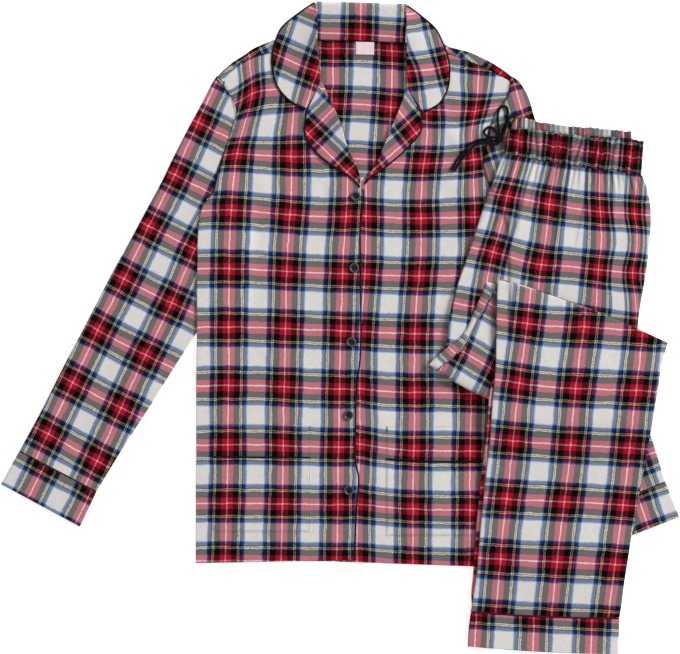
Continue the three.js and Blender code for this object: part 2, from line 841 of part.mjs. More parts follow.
function collarBack() {
  const line = COLLAR_BACK.map(({ out, up }) => [out, up]);
  const shape = [...moved(line, CLOTH / 2), ...moved(line, -CLOTH / 2).toReversed()];
  return prism(shape, 0, COLLAR_BACK_WIDTH)
    .rotateX(Math.PI / 2)
    .rotateZ(Math.PI / 2)
    .rotateZ(THREE.MathUtils.degToRad(COLLAR_BACK_TURN))
    .translate(COLLAR_BACK_X, NECK_SEAM_Y, 0);
}

// The body's side of an armhole, to cut a sleeve's head a gap clear of it.
function armholeCutter(rows, edgeOf, side, inwardX, foot) {
  const edge = moved([...foot, ...edgeOf(rows)], side * GAP);
  const outline = [...edge, [inwardX, edge.at(-1)[1]], [inwardX, edge[0][1]]];
  return prism(outline, -CUT_BEYOND, TUBE_TOP + CUT_BEYOND);
}

function rightSleeve() {
  const tube = flatTube(RIGHT_SLEEVE, TUBE_SHARES, () => 0, TUBE_HEIGHT, CLOTH);
  const rows = BACK.slice(...RIGHT_ARMHOLE);
  return cut(tube, armholeCutter(rows, leftEdge, -1, BODY_MIDDLE_X, [ARMHOLE_FOOT]));
}

function leftSleeve() {
  const tube = flatTube(LEFT_SLEEVE, TUBE_SHARES, () => 0, TUBE_HEIGHT, CLOTH);
  return cut(tube, armholeCutter(BACK.slice(...LEFT_ARMHOLE), rightEdge, 1, BODY_MIDDLE_X, []));
}

function cuff(rows) {
  return flatTube(rows, TUBE_SHARES, () => 0, CUFF_HEIGHT, CUFF_CLOTH);
}

// A ring of piping round the seam between two tubes.
function seamPiping(from, to, shares, level) {
  const rows = [between(from, to, 0.14), between(from, to, 0.86)];
  return flatTube(rows, shares, () => level, PIPED_HEIGHT, CLOTH);
}

function pocketPieces({ side, leftX, rightX, topY, leftPipingY, rightPipingY, bottomY, bow }) {
  const line = (below) => ({
    leftX,
    rightX,
    leftY: leftPipingY - below,
    rightY: rightPipingY - below,
    bow,
  });
  const level = () => UPPER_LEVEL;
  const half = PIPING / 2;
  const edge = (y) => ({ leftX, rightX, leftY: y, rightY: y, bow: 0 });
  const piping = [line(half), line(-half)];
  return {
    [`pocket_${side}`]: cloth([edge(bottomY), line(half + GAP)], POCKET_SHARES, level),
    [`pocket_band_${side}`]: cloth([line(-half - GAP), edge(topY)], POCKET_SHARES, level),
    [`pocket_piping_${side}`]: cloth(piping, POCKET_SHARES, level, POCKET_PIPING_HEIGHT),
  };
}

function frontPiping() {
  const edge = rightEdge(RIGHT_FRONT.slice(0, COVERING_ROWS));
  return edging(edge, edge.map(() => UPPER_LEVEL), 1);
}

function rolledPiping(rows, side) {
  return edging(rightEdge(rows), rows.map((row) => row.base), side);
}

function button() {
  const profile = [
    [0, 0],
    [BUTTON_RADIUS - BUTTON_BEVEL, 0],
    [BUTTON_RADIUS, BUTTON_BEVEL],
    [BUTTON_RADIUS, BUTTON_THICK - BUTTON_BEVEL],
    [BUTTON_RADIUS - BUTTON_BEVEL, BUTTON_THICK],
    [BUTTON_RADIUS - BUTTON_RIM, BUTTON_THICK],
    [BUTTON_RADIUS - BUTTON_RIM - BUTTON_BEVEL, BUTTON_THICK - BUTTON_DISH],
    [0, BUTTON_THICK - BUTTON_DISH],
  ].map(([radius, height]) => new THREE.Vector2(radius, height));
  const disc = new THREE.LatheGeometry(profile, BUTTON_SIDES).rotateX(Math.PI / 2);
  const holes = [0, 1, 2, 3].map((k) => {
    const turn = (k * Math.PI) / 2;
    const hole = new THREE.CylinderGeometry(BUTTON_HOLE, BUTTON_HOLE, 3 * BUTTON_THICK, 6);
    const [x, y] = [BUTTON_HOLE_OFF * Math.cos(turn), BUTTON_HOLE_OFF * Math.sin(turn)];
    return hole.rotateX(Math.PI / 2).translate(x, y, 0);
  });
  return cut(disc, ...holes);
}

function label() {
  const { x, y, width, depth, thick } = LABEL;
  const edge = (at) => ({ leftX: x, leftY: at, rightX: x + width, rightY: at - 0.7 });
  return cloth([edge(y), edge(y + depth)], [0, 1], () => LAYER, thick);
}

// The trousers
function groundLevel(x, y) {
  return over(UNDER_TROUSERS, x, y);
}

// Sections whose every other one is pushed out along its own line, as gathers are.
function gathered(rows, waves, reach) {
  return resampled(rows, 2 * waves + 1).map((row, i) => {
    const push = i % 2 ? reach : 0;
    const long = Math.hypot(row.leftX - row.rightX, row.leftY - row.rightY);
    const leftX = row.leftX + ((row.leftX - row.rightX) / long) * push;
    const leftY = row.leftY + ((row.leftY - row.rightY) / long) * push;
    return { ...row, leftX, leftY };
  });
}

function frontBand() {
  const places = grid(gathered(FRONT_BAND, BAND_GATHERS, BAND_GATHER_REACH), BAND_SHARES);
  const top = (x, y, i, j) => {
    const edge = j === 0 || j === BAND_SHARES.length - 1;
    return HIP_LEVEL + BAND_HEIGHT - (i % 2 ? 0 : BAND_GATHER_DEPTH) - (edge ? 0.6 : 0);
  };
  return panel(places, () => HIP_LEVEL, top);
}

function backBand() {
  const places = grid(gathered(BACK_BAND, BACK_RUFFLES, BAND_GATHER_REACH), BACK_BAND_SHARES);
  const top = (x, y, i, j) => HIP_TOP - (i % 2 || j > 1 ? 0 : BACK_RUFFLE_DEPTH);
  return panel(places, groundLevel, top);
}

function innerHips() {
  const rows = HIPS.map((row, i) => (i ? row : between(row, HIPS[1], 0.08)));
  return layered(grid(rows, INNER_HIP_SHARES), groundLevel, () => HIP_TOP, 3);
}

function hipFront() {
  const rows = [...HIPS.slice(0, -1), between(HIPS.at(-1), HIPS.at(-2), 0.1)];
  rows.at(-1).bow = HIPS.at(-1).bow;
  return cloth(rows, HIP_SHARES, (x, y, i, j) => {
    const fade = Math.max(0, 1 - i / HIP_GATHER_ROWS) ** 1.5;
    return HIP_LEVEL + (j % 2 ? HIP_GATHER_DEPTH * fade : 0);
  });
}

function foldedLegs() {
  const top = () => FOLD_LEVEL + FOLD_HEIGHT;
  return layered(grid(FOLDED_BACK, INNER_HIP_SHARES), () => FOLD_LEVEL, top, 4);
}

function underLeg() {
  const rows = [...LEGS, ...HIDDEN_HEM].map((row) => ({
    ...row,
    leftX: row.leftX - row.out,
    rightX: row.rightX - UNDER_LEG_INSET,
  }));
  const bottom = (x, y, i) => Math.max(rows[i].floor, groundLevel(x, y));
  return layered(grid(rows, UNDER_LEG_SHARES), bottom, (x, y, i) => rows[i].under, 2);
}

function upperLeg() {
  return flatTube(LEGS, LEG_SHARES, (i) => LEGS[i].under + GAP, TUBE_HEIGHT, CLOTH, true);
}

function knot() {
  return new THREE.SphereGeometry(0.5, 12, 8).scale(KNOT.width, KNOT.length, KNOT.height);
}

function cord(route) {
  const line = route.map(({ x, y, lift }) => new THREE.Vector3(x, y, CORD_LEVEL + lift));
  const corners = Array.from({ length: CORD_SIDES }, (_, k) => {
    const turn = (2 * Math.PI * k) / CORD_SIDES;
    return new THREE.Vector2(Math.cos(turn), Math.sin(turn)).multiplyScalar(CORD / 2);
  });
  const tube = new THREE.ExtrudeGeometry(new THREE.Shape(corners), {
    steps: Math.round(STEPS_PER_POINT * route.length),
    extrudePath: new THREE.CatmullRomCurve3(line),
    bevelEnabled: false,
  });
  const clearance = new THREE.SphereGeometry(0.5, 24, 16);
  clearance.scale(KNOT.width + 2 * GAP, KNOT.length + 2 * GAP, KNOT.height + 2 * GAP);
  return cut(tube, clearance.translate(KNOT.x, KNOT.y, KNOT.z));
}

// Finishes: colour and roughness
const FLANNEL = { color: 0x9a3038, roughness: 0.95 };
const BLACK_TRIM = { color: 0x15151a, roughness: 0.8 };
const DARK_RED_TRIM = { color: 0x5a1420, roughness: 0.85 };
const BUTTON_PLASTIC = { color: 0x2a2c36, roughness: 0.45 };
const LABEL_CLOTH = { color: 0xe9d3d8, roughness: 0.8 };

const group = new THREE.Group();

function add(name, geometry, finish, parent = group) {
  const material = new THREE.MeshStandardMaterial({ ...finish, metalness: 0 });
  const mesh = new THREE.Mesh(geometry, material);
  mesh.name = name;
  parent.add(mesh);
  return mesh;
}

const shirt = new THREE.Group();
group.add(shirt);
add("shirt_back", back(), FLANNEL, shirt);
add("shirt_front_right", rightFront(), FLANNEL, shirt);
add("shirt_front_left", leftFront(), FLANNEL, shirt);
add("sleeve_right", rightSleeve(), FLANNEL, shirt);
add("sleeve_left", leftSleeve(), FLANNEL, shirt);
add("cuff_right", cuff(RIGHT_CUFF), FLANNEL, shirt);
add("cuff_left", cuff(LEFT_CUFF), FLANNEL, shirt);
const rightSeam = seamPiping(RIGHT_SLEEVE.at(-1), RIGHT_CUFF[0], TUBE_SHARES, 0);
const leftSeam = seamPiping(LEFT_SLEEVE.at(-1), LEFT_CUFF[0], TUBE_SHARES, 0);
add("cuff_piping_right", rightSeam, BLACK_TRIM, shirt);
add("cuff_piping_left", leftSeam, BLACK_TRIM, shirt);
const collar = joined(collarLeaf(RIGHT_LEAF), collarBack(), collarLeaf(LEFT_LEAF));
add("collar", collar, FLANNEL, shirt);
add("lapel_right", lapel(RIGHT_LAPEL), FLANNEL, shirt);
add("lapel_left", lapel(LEFT_LAPEL), FLANNEL, shirt);
add("collar_piping_right", rolledPiping(RIGHT_LEAF, 1), BLACK_TRIM, shirt);
add("collar_piping_left", rolledPiping(LEFT_LEAF, -1), BLACK_TRIM, shirt);
add("lapel_piping_right", rolledPiping(RIGHT_LAPEL, 1), BLACK_TRIM, shirt);
add("lapel_piping_left", rolledPiping(LEFT_LAPEL, -1), BLACK_TRIM, shirt);
add("front_piping_right", frontPiping(), BLACK_TRIM, shirt);
for (const pocket of POCKETS) {
  for (const [name, geometry] of Object.entries(pocketPieces(pocket))) {
    add(name, geometry, name.includes("piping") ? BLACK_TRIM : FLANNEL, shirt);
  }
}
BUTTONS.forEach(({ x, y }, k) => {
  const mesh = add(`button_${k + 1}`, button(), BUTTON_PLASTIC, shirt);
  mesh.position.set(x, y, UPPER_LEVEL + LAYER);
});
add("neck_label", label(), LABEL_CLOTH, shirt);

const trousers = new THREE.Group();
group.add(trousers);
add("waistband_back", backBand(), FLANNEL, trousers);
add("waistband_front", frontBand(), FLANNEL, trousers);
add("hip_front", hipFront(), FLANNEL, trousers);
add("hip_inner_layers", innerHips(), FLANNEL, trousers);
add("leg_folded_back", foldedLegs(), FLANNEL, trousers);
add("leg_under", underLeg(), FLANNEL, trousers);
add("leg_upper", upperLeg(), FLANNEL, trousers);
add("leg_hem", flatTube(HEM, LEG_SHARES, () => HEM_BASE, TUBE_HEIGHT, CLOTH), FLANNEL, trousers);
add("leg_hem_piping", seamPiping(LEGS.at(-1), HEM[0], LEG_SHARES, HEM_BASE), DARK_RED_TRIM, trousers);
add("drawstring_knot", knot(), BLACK_TRIM, trousers).position.set(KNOT.x, KNOT.y, KNOT.z);
for (const [name, route] of Object.entries(ROUTES)) {
  add(name, cord(route), BLACK_TRIM, trousers);
}

export default group;
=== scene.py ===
import math
from types import SimpleNamespace

import bmesh
import bpy
import numpy as np
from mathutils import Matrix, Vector


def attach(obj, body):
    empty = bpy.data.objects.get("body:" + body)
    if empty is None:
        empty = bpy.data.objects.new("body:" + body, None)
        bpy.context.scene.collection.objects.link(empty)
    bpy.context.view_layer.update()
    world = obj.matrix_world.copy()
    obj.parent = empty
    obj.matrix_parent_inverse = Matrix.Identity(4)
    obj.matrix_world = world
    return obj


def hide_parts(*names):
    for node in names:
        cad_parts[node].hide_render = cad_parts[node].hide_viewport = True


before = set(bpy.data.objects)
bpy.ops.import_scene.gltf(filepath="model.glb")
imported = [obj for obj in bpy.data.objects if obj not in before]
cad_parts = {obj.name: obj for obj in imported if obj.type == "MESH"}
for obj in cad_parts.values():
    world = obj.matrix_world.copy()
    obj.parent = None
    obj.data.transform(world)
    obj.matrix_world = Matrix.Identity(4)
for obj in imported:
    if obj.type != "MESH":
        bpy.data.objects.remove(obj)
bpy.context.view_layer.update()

# The pyjama set, dressed. Lengths are millimetres until a mesh is made, X to the right, Y to the
# collar and Z up. Pieces are named for the wearer's sides, so the right ones have the lower X.
MM = 0.001
UP = np.array([0.0, 0.0, 1.0])
PHOTO_WIDTH, PHOTO_HEIGHT = 680, 654
MM_PER_PIXEL = 1.33
PHOTO_LEFT, PHOTO_TOP = -452.5, 435.9  # where the photograph's corner lies on the table
CAMERA_HEIGHT = 6.0
SENSOR = 36.0

# Slots
TARTAN = "tartan_flannel"
BLACK_CORD = "black_piping"
LACE = "drawstring_cord"

# Cloth
CLOTH = 1.2
GAP = 0.3
LAYER = CLOTH + GAP
HOLLOW = 0.8
TUBE_HEIGHT = 2 * CLOTH + HOLLOW
TUBE_TOP = TUBE_HEIGHT + GAP
CUFF_CLOTH = 1.4
PIPED_HEIGHT = 2 * CUFF_CLOTH + HOLLOW + 0.6
FRONT_LEVEL, UPPER_LEVEL = LAYER, 2 * LAYER
REPEAT = 75.8  # of the tartan
TWILL = 1.9  # from one twill line to the next

# Drawstring
CORD = 3.2
CORD_LEVEL = 5.2
KNOT = SimpleNamespace(x=212, y=252, z=6.8, width=11, length=17, height=6.4)

# Where each stretch of the drawstring runs: x, y, and the lift above the level at which it lies.
ROUTES = {
    "drawstring_tail_front": [
        (210, 249.6, 0), (205, 248.4, 0), (198, 249.8, 0), (190, 250.6, 0), (181, 248.6, 0),
        (174, 244.5, 0), (165, 235, 0), (156, 224, 0), (147.5, 209.5, 0),
    ],
    "drawstring_tail_back": [
        (210.5, 245.4, 0), (205.5, 244, 0), (198, 245.4, 0), (190, 246.3, 0), (182.5, 244.2, 0),
        (176.5, 240.8, 0), (168, 231.6, 0), (159.6, 221.2, 0), (151.6, 208, 0),
    ],
    "drawstring_loop_up": [
        (211.5, 258, 0), (210.6, 264, 0), (209.4, 274, 0), (209.6, 284, 0), (212.5, 292, 0),
        (217.5, 294.5, 0), (222, 291, 0), (222.4, 283, 0), (220, 273, 0.4), (217, 265, 0.6),
        (214.8, 257, 0.4),
    ],
    "drawstring_loop_side": [
        (208.4, 256.6, 0.4), (205.6, 262, 0.2), (202, 266, 0), (197, 266.6, 0), (192.6, 263, 0),
        (191.4, 258, 0), (195, 254.8, 0), (200, 253.6, 0), (208, 252.6, 0),
    ],
    "drawstring_strand": [
        (233.5, 280.8, 0.4), (227.5, 281.6, 2.6), (223.4, 276, 4.4), (220.6, 268, 4.4), (218.2, 261, 4.2),
        (215, 254.6, 3.2),
    ],
}


def catmull(rows, t):
    """Rows of numbers sampled at t on a smooth curve through them."""
    rows = np.asarray(rows, float)
    last = len(rows) - 1
    k = np.clip(np.floor(t).astype(int), 0, last - 1)
    u = (t - k)[:, None]
    a, b, c, d = (rows[np.clip(k + step, 0, last)] for step in (-1, 0, 1, 2))
    bend = (2 * a - 5 * b + 4 * c - d) * u**2 + (3 * b - a - 3 * c + d) * u**3
    return b + ((c - a) * u + bend) / 2


def fine_curve(rows, steps):
    """A smooth curve through rows, in so many steps for each of them."""
    return catmull(rows, np.linspace(0, len(rows) - 1, steps * len(rows)))


def run_of(line):
    """How far along a line each of its points lies."""
    return np.concatenate([[0], np.cumsum(np.linalg.norm(np.diff(line, axis=0), axis=1))])


def points_at(line, at):
    """The places at given distances along a line of points."""
    return np.column_stack([np.interp(at, run_of(line), column) for column in line.T])


def link(name, data):
    """A new object in the scene."""
    thing = bpy.data.objects.new(name, data)
    bpy.context.scene.collection.objects.link(thing)
    return thing


# The camera looks straight down on the middle of the photograph.
camera_data = bpy.data.cameras.new("camera")
camera_data.sensor_width = SENSOR
camera_data.lens = SENSOR * CAMERA_HEIGHT / (PHOTO_WIDTH * MM_PER_PIXEL * MM)
camera_data.clip_end = 50
camera = link("camera", camera_data)
centre_x = PHOTO_LEFT + MM_PER_PIXEL * PHOTO_WIDTH / 2
centre_y = PHOTO_TOP - MM_PER_PIXEL * PHOTO_HEIGHT / 2
camera.location = (centre_x * MM, centre_y * MM, CAMERA_HEIGHT)
bpy.context.scene.camera = camera


# Materials
class Look:
    """A material, built up node by node. A socket is given a number or the output that feeds it."""

    def __init__(self, name, roughness, **sockets):
        self.material = bpy.data.materials.new(name)
        self.material.use_nodes = True
        self.tree = self.material.node_tree
        self.shader = self.tree.nodes["Principled BSDF"]
        self.fill(self.shader, Roughness=roughness, **sockets)

    def put(self, socket, value):
        if isinstance(value, bpy.types.NodeSocket):
            self.tree.links.new(value, socket)
        else:
            socket.default_value = value

    def fill(self, node, **sockets):
        for name, value in sockets.items():
            self.put(node.inputs[name.replace("_", " ")], value)

    def node(self, kind, **sockets):
        node = self.tree.nodes.new("ShaderNode" + kind)
        self.fill(node, **sockets)
        return node

    def place(self):
        return self.node("TexCoord").outputs["Object"]

    def value(self, name, output):
        """What a mesh says at each of its points."""
        node = self.node("Attribute")
        node.attribute_name = name
        return node.outputs[output]

    def math(self, operation, *values, kind="Math"):
        node = self.node(kind)
        node.operation = operation
        for socket, value in zip(node.inputs, values):
            self.put(socket, value)
        return node.outputs[0]

    def noise(self, scale, detail=2.0, vector=None, **sockets):
        sockets["Vector"] = vector or self.place()
        return self.node("TexNoise", Scale=scale, Detail=detail, **sockets).outputs["Fac"]

    def ramp(self, value, stops, interpolation="LINEAR"):
        node = self.node("ValToRGB", Fac=value)
        ramp = node.color_ramp
        ramp.interpolation = interpolation
        while len(ramp.elements) < len(stops):
            ramp.elements.new(0.5)
        for element, (position, colour) in zip(ramp.elements, stops):
            element.position, element.color = position, colour
        return node.outputs["Color"]

    def bump(self, height, strength, distance):
        bump = self.node("Bump", Height=height, Strength=strength, Distance=distance)
        self.fill(self.shader, Normal=bump.outputs["Normal"])


def linear(*screen):
    """A colour that is given as it looks on a screen, from 0 to 255."""
    shares = [value / 255 for value in screen]
    return (*(s / 12.92 if s <= 0.04045 else ((s + 0.055) / 1.055) ** 2.4 for s in shares), 1.0)


# The tartan's sett: the width of each stripe from the middle of the white to that of the red.
WHITE = linear(220, 216, 211)
PALE_BLUE = linear(92, 138, 206)
BLUE = linear(18, 50, 102)
BLACK = linear(6, 6, 8)
YELLOW = linear(204, 198, 168)
RED = linear(166, 18, 40)
FINE = linear(246, 190, 186)
SETT = (
    (WHITE, 11.7), (PALE_BLUE, 1.3), (BLUE, 3.7), (BLACK, 2.0), (YELLOW, 1.1), (BLACK, 1.0),
    (YELLOW, 1.1), (BLACK, 8.2), (RED, 6.7), (FINE, 1.0),
)


def stripes(look, coordinate):
    """Yarn colour across the cloth, from the sett, which is mirrored about its white and its red.

    Cube roots are mixed, because yarns mix as darkly as they look when those are averaged."""
    share = look.math("FRACT", look.math("ADD", coordinate, 0.5))
    away = look.math("ABSOLUTE", look.math("SUBTRACT", share, 0.5))
    widths = np.array([width for _, width in SETT])
    starts = (np.cumsum(widths) - widths) / widths.sum()
    stops = [(start, (*(part ** (1 / 3) for part in colour[:3]), 1.0))
             for start, (colour, _) in zip(starts, SETT)]
    return look.ramp(look.math("MULTIPLY", away, 2.0), stops, "CONSTANT")


def tartan_material():
    """Brushed twill of dyed yarns: warp and weft each follow the sett and mix where they cross."""
    look = Look(TARTAN, 0.96, Sheen_Weight=0.06, Sheen_Roughness=0.4, Specular_IOR_Level=0.05)
    weave = look.value("weave", "Vector")
    across, along, painted_shade = look.node("SeparateXYZ", Vector=weave).outputs

    # The yarns wander a little, and the nap's fibres carry each stripe's colour past its edge.
    fibres = look.noise(900.0, 4.0)
    sway = look.math("ADD", look.math("MULTIPLY_ADD", look.noise(60.0, 3.0), 0.04, -0.02),
                     look.math("MULTIPLY_ADD", fibres, 0.036, -0.018))
    warp = stripes(look, look.math("ADD", across, sway))
    weft = stripes(look, look.math("SUBTRACT", along, sway))

    # Twill lines show the warp and then the weft.
    wave = look.math("SINE", look.math("MULTIPLY", look.math("ADD", across, along),
                                       2 * math.pi * REPEAT / TWILL))
    over = look.math("MULTIPLY_ADD", wave, 0.22, 0.5)
    mix = look.node("Mix")
    mix.data_type = "RGBA"
    look.fill(mix, Factor=over, A=warp, B=weft)
    mixed = mix.outputs["Result"]
    squared = look.math("MULTIPLY", mixed, mixed, kind="VectorMath")
    dyed = look.math("MULTIPLY", squared, mixed, kind="VectorMath")

    # Fine fibres, soft blotches, faint streaks along the warp and the weft, and painted shade in seams,
    # gathers and the crease of folds, from the weave attribute's third channel.
    light = look.math("MULTIPLY", look.math("MULTIPLY_ADD", fibres, 0.30, 0.85),
                      look.math("MULTIPLY_ADD", look.noise(55.0, 5.0), 0.16, 0.92))
    for scale in ((150.0, 9.0, 0.0), (9.0, 150.0, 0.0)):
        stretched = look.node("Mapping", Vector=weave, Scale=scale).outputs["Vector"]
        streak = look.math("MULTIPLY_ADD", look.noise(1.0, 2.0, stretched), 0.34, 0.83)
        light = look.math("MULTIPLY", light, streak)
    light = look.math("MULTIPLY", light, look.math("SUBTRACT", 1.0, painted_shade))
    napped_and_shaded = look.node("VectorMath")
    napped_and_shaded.operation = "SCALE"
    look.fill(napped_and_shaded, Vector=dyed, Scale=light)
    look.fill(look.shader, Base_Color=napped_and_shaded.outputs[0])
    look.bump(look.math("MULTIPLY_ADD", wave, 0.35, fibres), 0.35, 0.0004)
    return look.material


def trim_material(name, dark, pale, roughness=0.82, twist=900.0):
    """Corded cotton: two shades of one dye along a fine twist."""
    look = Look(name, roughness, Sheen_Weight=0.03, Sheen_Roughness=0.5, Specular_IOR_Level=0.15)
    twill = look.node("TexWave", Vector=look.place(), Scale=twist, Distortion=2.0)
    twill.bands_direction = "DIAGONAL"
    blend = look.math("MULTIPLY", twill.outputs["Fac"], look.noise(600.0))
    look.fill(look.shader, Base_Color=look.ramp(blend, [(0.0, linear(*dark)), (1.0, linear(*pale))]))
    look.bump(blend, 0.4, 0.0003)
    return look.material


def button_material():
    """Dark moulded plastic, paler on its rim, with faint clouds and fine scuffs."""
    look = Look("button_plastic", 0.34, Specular_IOR_Level=0.5, Coat_Weight=0.15, Coat_Roughness=0.25)
    rim = look.math("MULTIPLY_ADD", look.value("rim", "Fac"), 0.55, -0.3)
    tone = look.math("ADD", look.noise(260.0, 6.0, Distortion=1.5), rim)
    colour = look.ramp(tone, [(0.15, linear(10, 11, 15)), (0.45, linear(30, 32, 39)),
                              (0.8, linear(78, 82, 88))])
    scuffs = look.noise(1800.0)
    look.fill(look.shader, Base_Color=colour, Roughness=look.math("MULTIPLY_ADD", scuffs, 0.25, 0.25))
    look.bump(scuffs, 0.08, 0.0002)
    return look.material


MATERIALS = {TARTAN: tartan_material(), "button_plastic": button_material()}
for name, dark, pale, *rest in (
    (BLACK_CORD, (4, 4, 5), (24, 24, 28)),
    ("dark_red_piping", (60, 8, 16), (120, 24, 36)),
    (LACE, (3, 3, 5), (24, 24, 30), 0.85, 500.0),
    ("label_cloth", (232, 204, 212), (250, 236, 240), 0.6, 1400.0),
    ("sewing_thread", (120, 116, 112), (190, 186, 180), 0.7, 2000.0),
    ("dark_thread", (26, 26, 30), (64, 64, 72), 0.7, 2000.0),
):
    MATERIALS[name] = trim_material(name, dark, pale, *rest)


# Meshes
PAINTED_SHADE_LINES = []  # rows of (line, reach, darkness): lines along which shade is painted on the cloth, in the crease of a seam or beside an edge that shades it
EDGE_STEPS = (0.0, 0.18, 0.55, 1.1, 2.0)  # distances from an edge at which its rounding is drawn
LIP = 0.8  # how far a folded layer's edge stands out
LIP_STEPS = 6
ROPE_SIDES = 10


def away_from(line, x, y):
    """Distance from a line of points."""
    nearest = np.full(np.shape(x), np.inf)
    for (ax, ay), (bx, by) in zip(line, line[1:]):
        dx, dy = bx - ax, by - ay
        t = np.clip(((x - ax) * dx + (y - ay) * dy) / (dx * dx + dy * dy or 1), 0, 1)
        nearest = np.minimum(nearest, np.hypot(x - ax - t * dx, y - ay - t * dy))
    return nearest


def seam_shade(x, y):
    """How much painted shade the cloth takes along the shade lines, from 0 to 1."""
    total = np.zeros(np.shape(x))
    for line, reach, darkness in PAINTED_SHADE_LINES:
        low, high = line.min(0) - 4 * reach, line.max(0) + 4 * reach
        near = (x > low[0]) & (x < high[0]) & (y > low[1]) & (y < high[1])
        if near.any():
            away = away_from(line, x[near], y[near])
            total[near] = np.maximum(total[near], darkness * np.exp(-((away / reach) ** 2)))
    return total


def rework(mesh, job):
    """Does one bmesh job on a mesh."""
    work = bmesh.new()
    work.from_mesh(mesh)
    job(work)
    work.to_mesh(mesh)
    work.free()


def mesh_object(name, node, points, faces, slot=TARTAN, weave=None, dark=0.0, look=None, outward=False):
    """A new piece from points in millimetres, in place of a node. faces holds arrays of corners."""
    mesh = bpy.data.meshes.new(name)
    points = np.asarray(points, float).reshape(-1, 3)
    faces = [part.reshape(-1, part.shape[-1]) for part in faces]
    sizes = np.concatenate([np.full(len(part), part.shape[1]) for part in faces])
    corners = np.concatenate([part.ravel() for part in faces])
    mesh.vertices.add(len(points))
    mesh.vertices.foreach_set("co", (points * MM).ravel())
    mesh.loops.add(len(corners))
    mesh.loops.foreach_set("vertex_index", corners)
    mesh.polygons.add(len(sizes))
    mesh.polygons.foreach_set("loop_start", np.cumsum(sizes) - sizes)
    mesh.update(calc_edges=True)
    mesh.validate()
    mesh.polygons.foreach_set("use_smooth", np.ones(len(mesh.polygons), bool))
    if weave:
        x, y = points[:, 0], points[:, 1]
        attribute = mesh.attributes.new("weave", "FLOAT_VECTOR", "POINT")
        # The weave attribute's third channel is painted shade: that of the shade lines or the piece's own,
        # whichever is darker.
        values = np.column_stack([*weave(x, y), np.maximum(seam_shade(x, y), dark)])
        attribute.data.foreach_set("vector", values.ravel())
    if outward:
        rework(mesh, lambda work: bmesh.ops.recalc_face_normals(work, faces=work.faces))
    mesh.materials.append(MATERIALS[look or slot])
    piece = link(name, mesh)
    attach(piece, "root")
    if node:
        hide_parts(node)
    return piece


def numbers(rows, columns, wrap=False):
    """A grid of vertex numbers, joined up along its rows if it wraps."""
    index = np.arange(rows * columns).reshape(rows, columns)
    return np.concatenate([index, index[:, :1]], 1) if wrap else index


def quads(index):
    """The faces between neighbours in a grid of vertex numbers."""
    return np.stack([index[:-1, :-1], index[:-1, 1:], index[1:, 1:], index[1:, :-1]], -1).reshape(-1, 4)


def points_of(x, y, z):
    return np.stack(np.broadcast_arrays(x, y, z), -1).reshape(-1, 3)


def spaced(length, spacing):
    """Distances along a length, close together near both ends."""
    inner = max(2, int(round((length - 2 * EDGE_STEPS[-1]) / spacing)))
    middle = np.linspace(EDGE_STEPS[-1], length - EDGE_STEPS[-1], inner + 1)
    ends = np.asarray(EDGE_STEPS[:-1])
    return np.concatenate([ends, middle, (length - ends)[::-1]])


def bowed(row):
    """A section's two ends and its bow along Y, which is 0 where the table gives none."""
    return (*row, 0)[:5]


def surface(rows, spacing):
    """A grid of places on a table of sections, with each place's row, share and distance to the edges."""
    rows = np.array([bowed(row) for row in rows], float)
    t = np.linspace(0, len(rows) - 1, 40 * len(rows))
    fine = catmull(rows, t)
    run = run_of((fine[:, 0:2] + fine[:, 2:4]) / 2)
    along = spaced(run[-1], spacing)[:, None]
    at = np.interp(along, run, t)
    left_x, left_y, right_x, right_y, bow = catmull(rows, at[:, 0]).T[:, :, None]
    wide = np.hypot(right_x - left_x, right_y - left_y)
    share = spaced(wide.max(), spacing) / wide.max() + 0 * at
    return SimpleNamespace(
        x=left_x * (1 - share) + right_x * share,
        y=left_y * (1 - share) + right_y * share + 4 * share * (1 - share) * bow,
        t=at + 0 * share, share=share, side=np.minimum(share, 1 - share) * wide, wide=wide,
        end=np.minimum(along, run[-1] - along) + 0 * share, length=run[-1], along=along + 0 * share)


def rounded(distance, radius):
    """How high a rounded edge stands at a distance from it, from 0 to 1."""
    inside = 1 - np.clip(distance / radius, 0, 1)
    return np.sqrt(1 - inside**2)


def facing_up(grid, faces):
    """Turns faces over where a grid's rows and columns don't turn the same way as X and Y."""
    x, y = grid.x, grid.y
    area = (x[0, -1] - x[0, 0]) * (y[-1, 0] - y[0, 0]) - (y[0, -1] - y[0, 0]) * (x[-1, 0] - x[0, 0])
    return [part[:, ::-1] for part in faces] if area < 0 else faces


def shell(name, node, grid, level, thick, weave=None, edge=1.1, dark=None, slot=TARTAN):
    """A closed cloth panel with rounded edges, whose underside lies on level."""
    full = rounded(np.minimum(grid.side, grid.end), edge) / 2
    top = level + thick * (0.5 + full)
    bottom = level + thick * (0.5 - full)
    upper = numbers(*top.shape)
    lower = upper.copy()
    inner = np.s_[1:-1, 1:-1]
    lower[inner] = upper.size + numbers(*lower[inner].shape)
    points = [points_of(grid.x, grid.y, top), points_of(grid.x[inner], grid.y[inner], bottom[inner])]
    # dark is painted shade at each grid point, given to the underside's points too.
    painted_shade = 0.0 if dark is None else np.concatenate([dark.ravel(), dark[inner].ravel()])
    return mesh_object(name, node, np.concatenate(points),
                       facing_up(grid, [quads(upper), quads(lower)[:, ::-1]]), slot, weave, painted_shade)


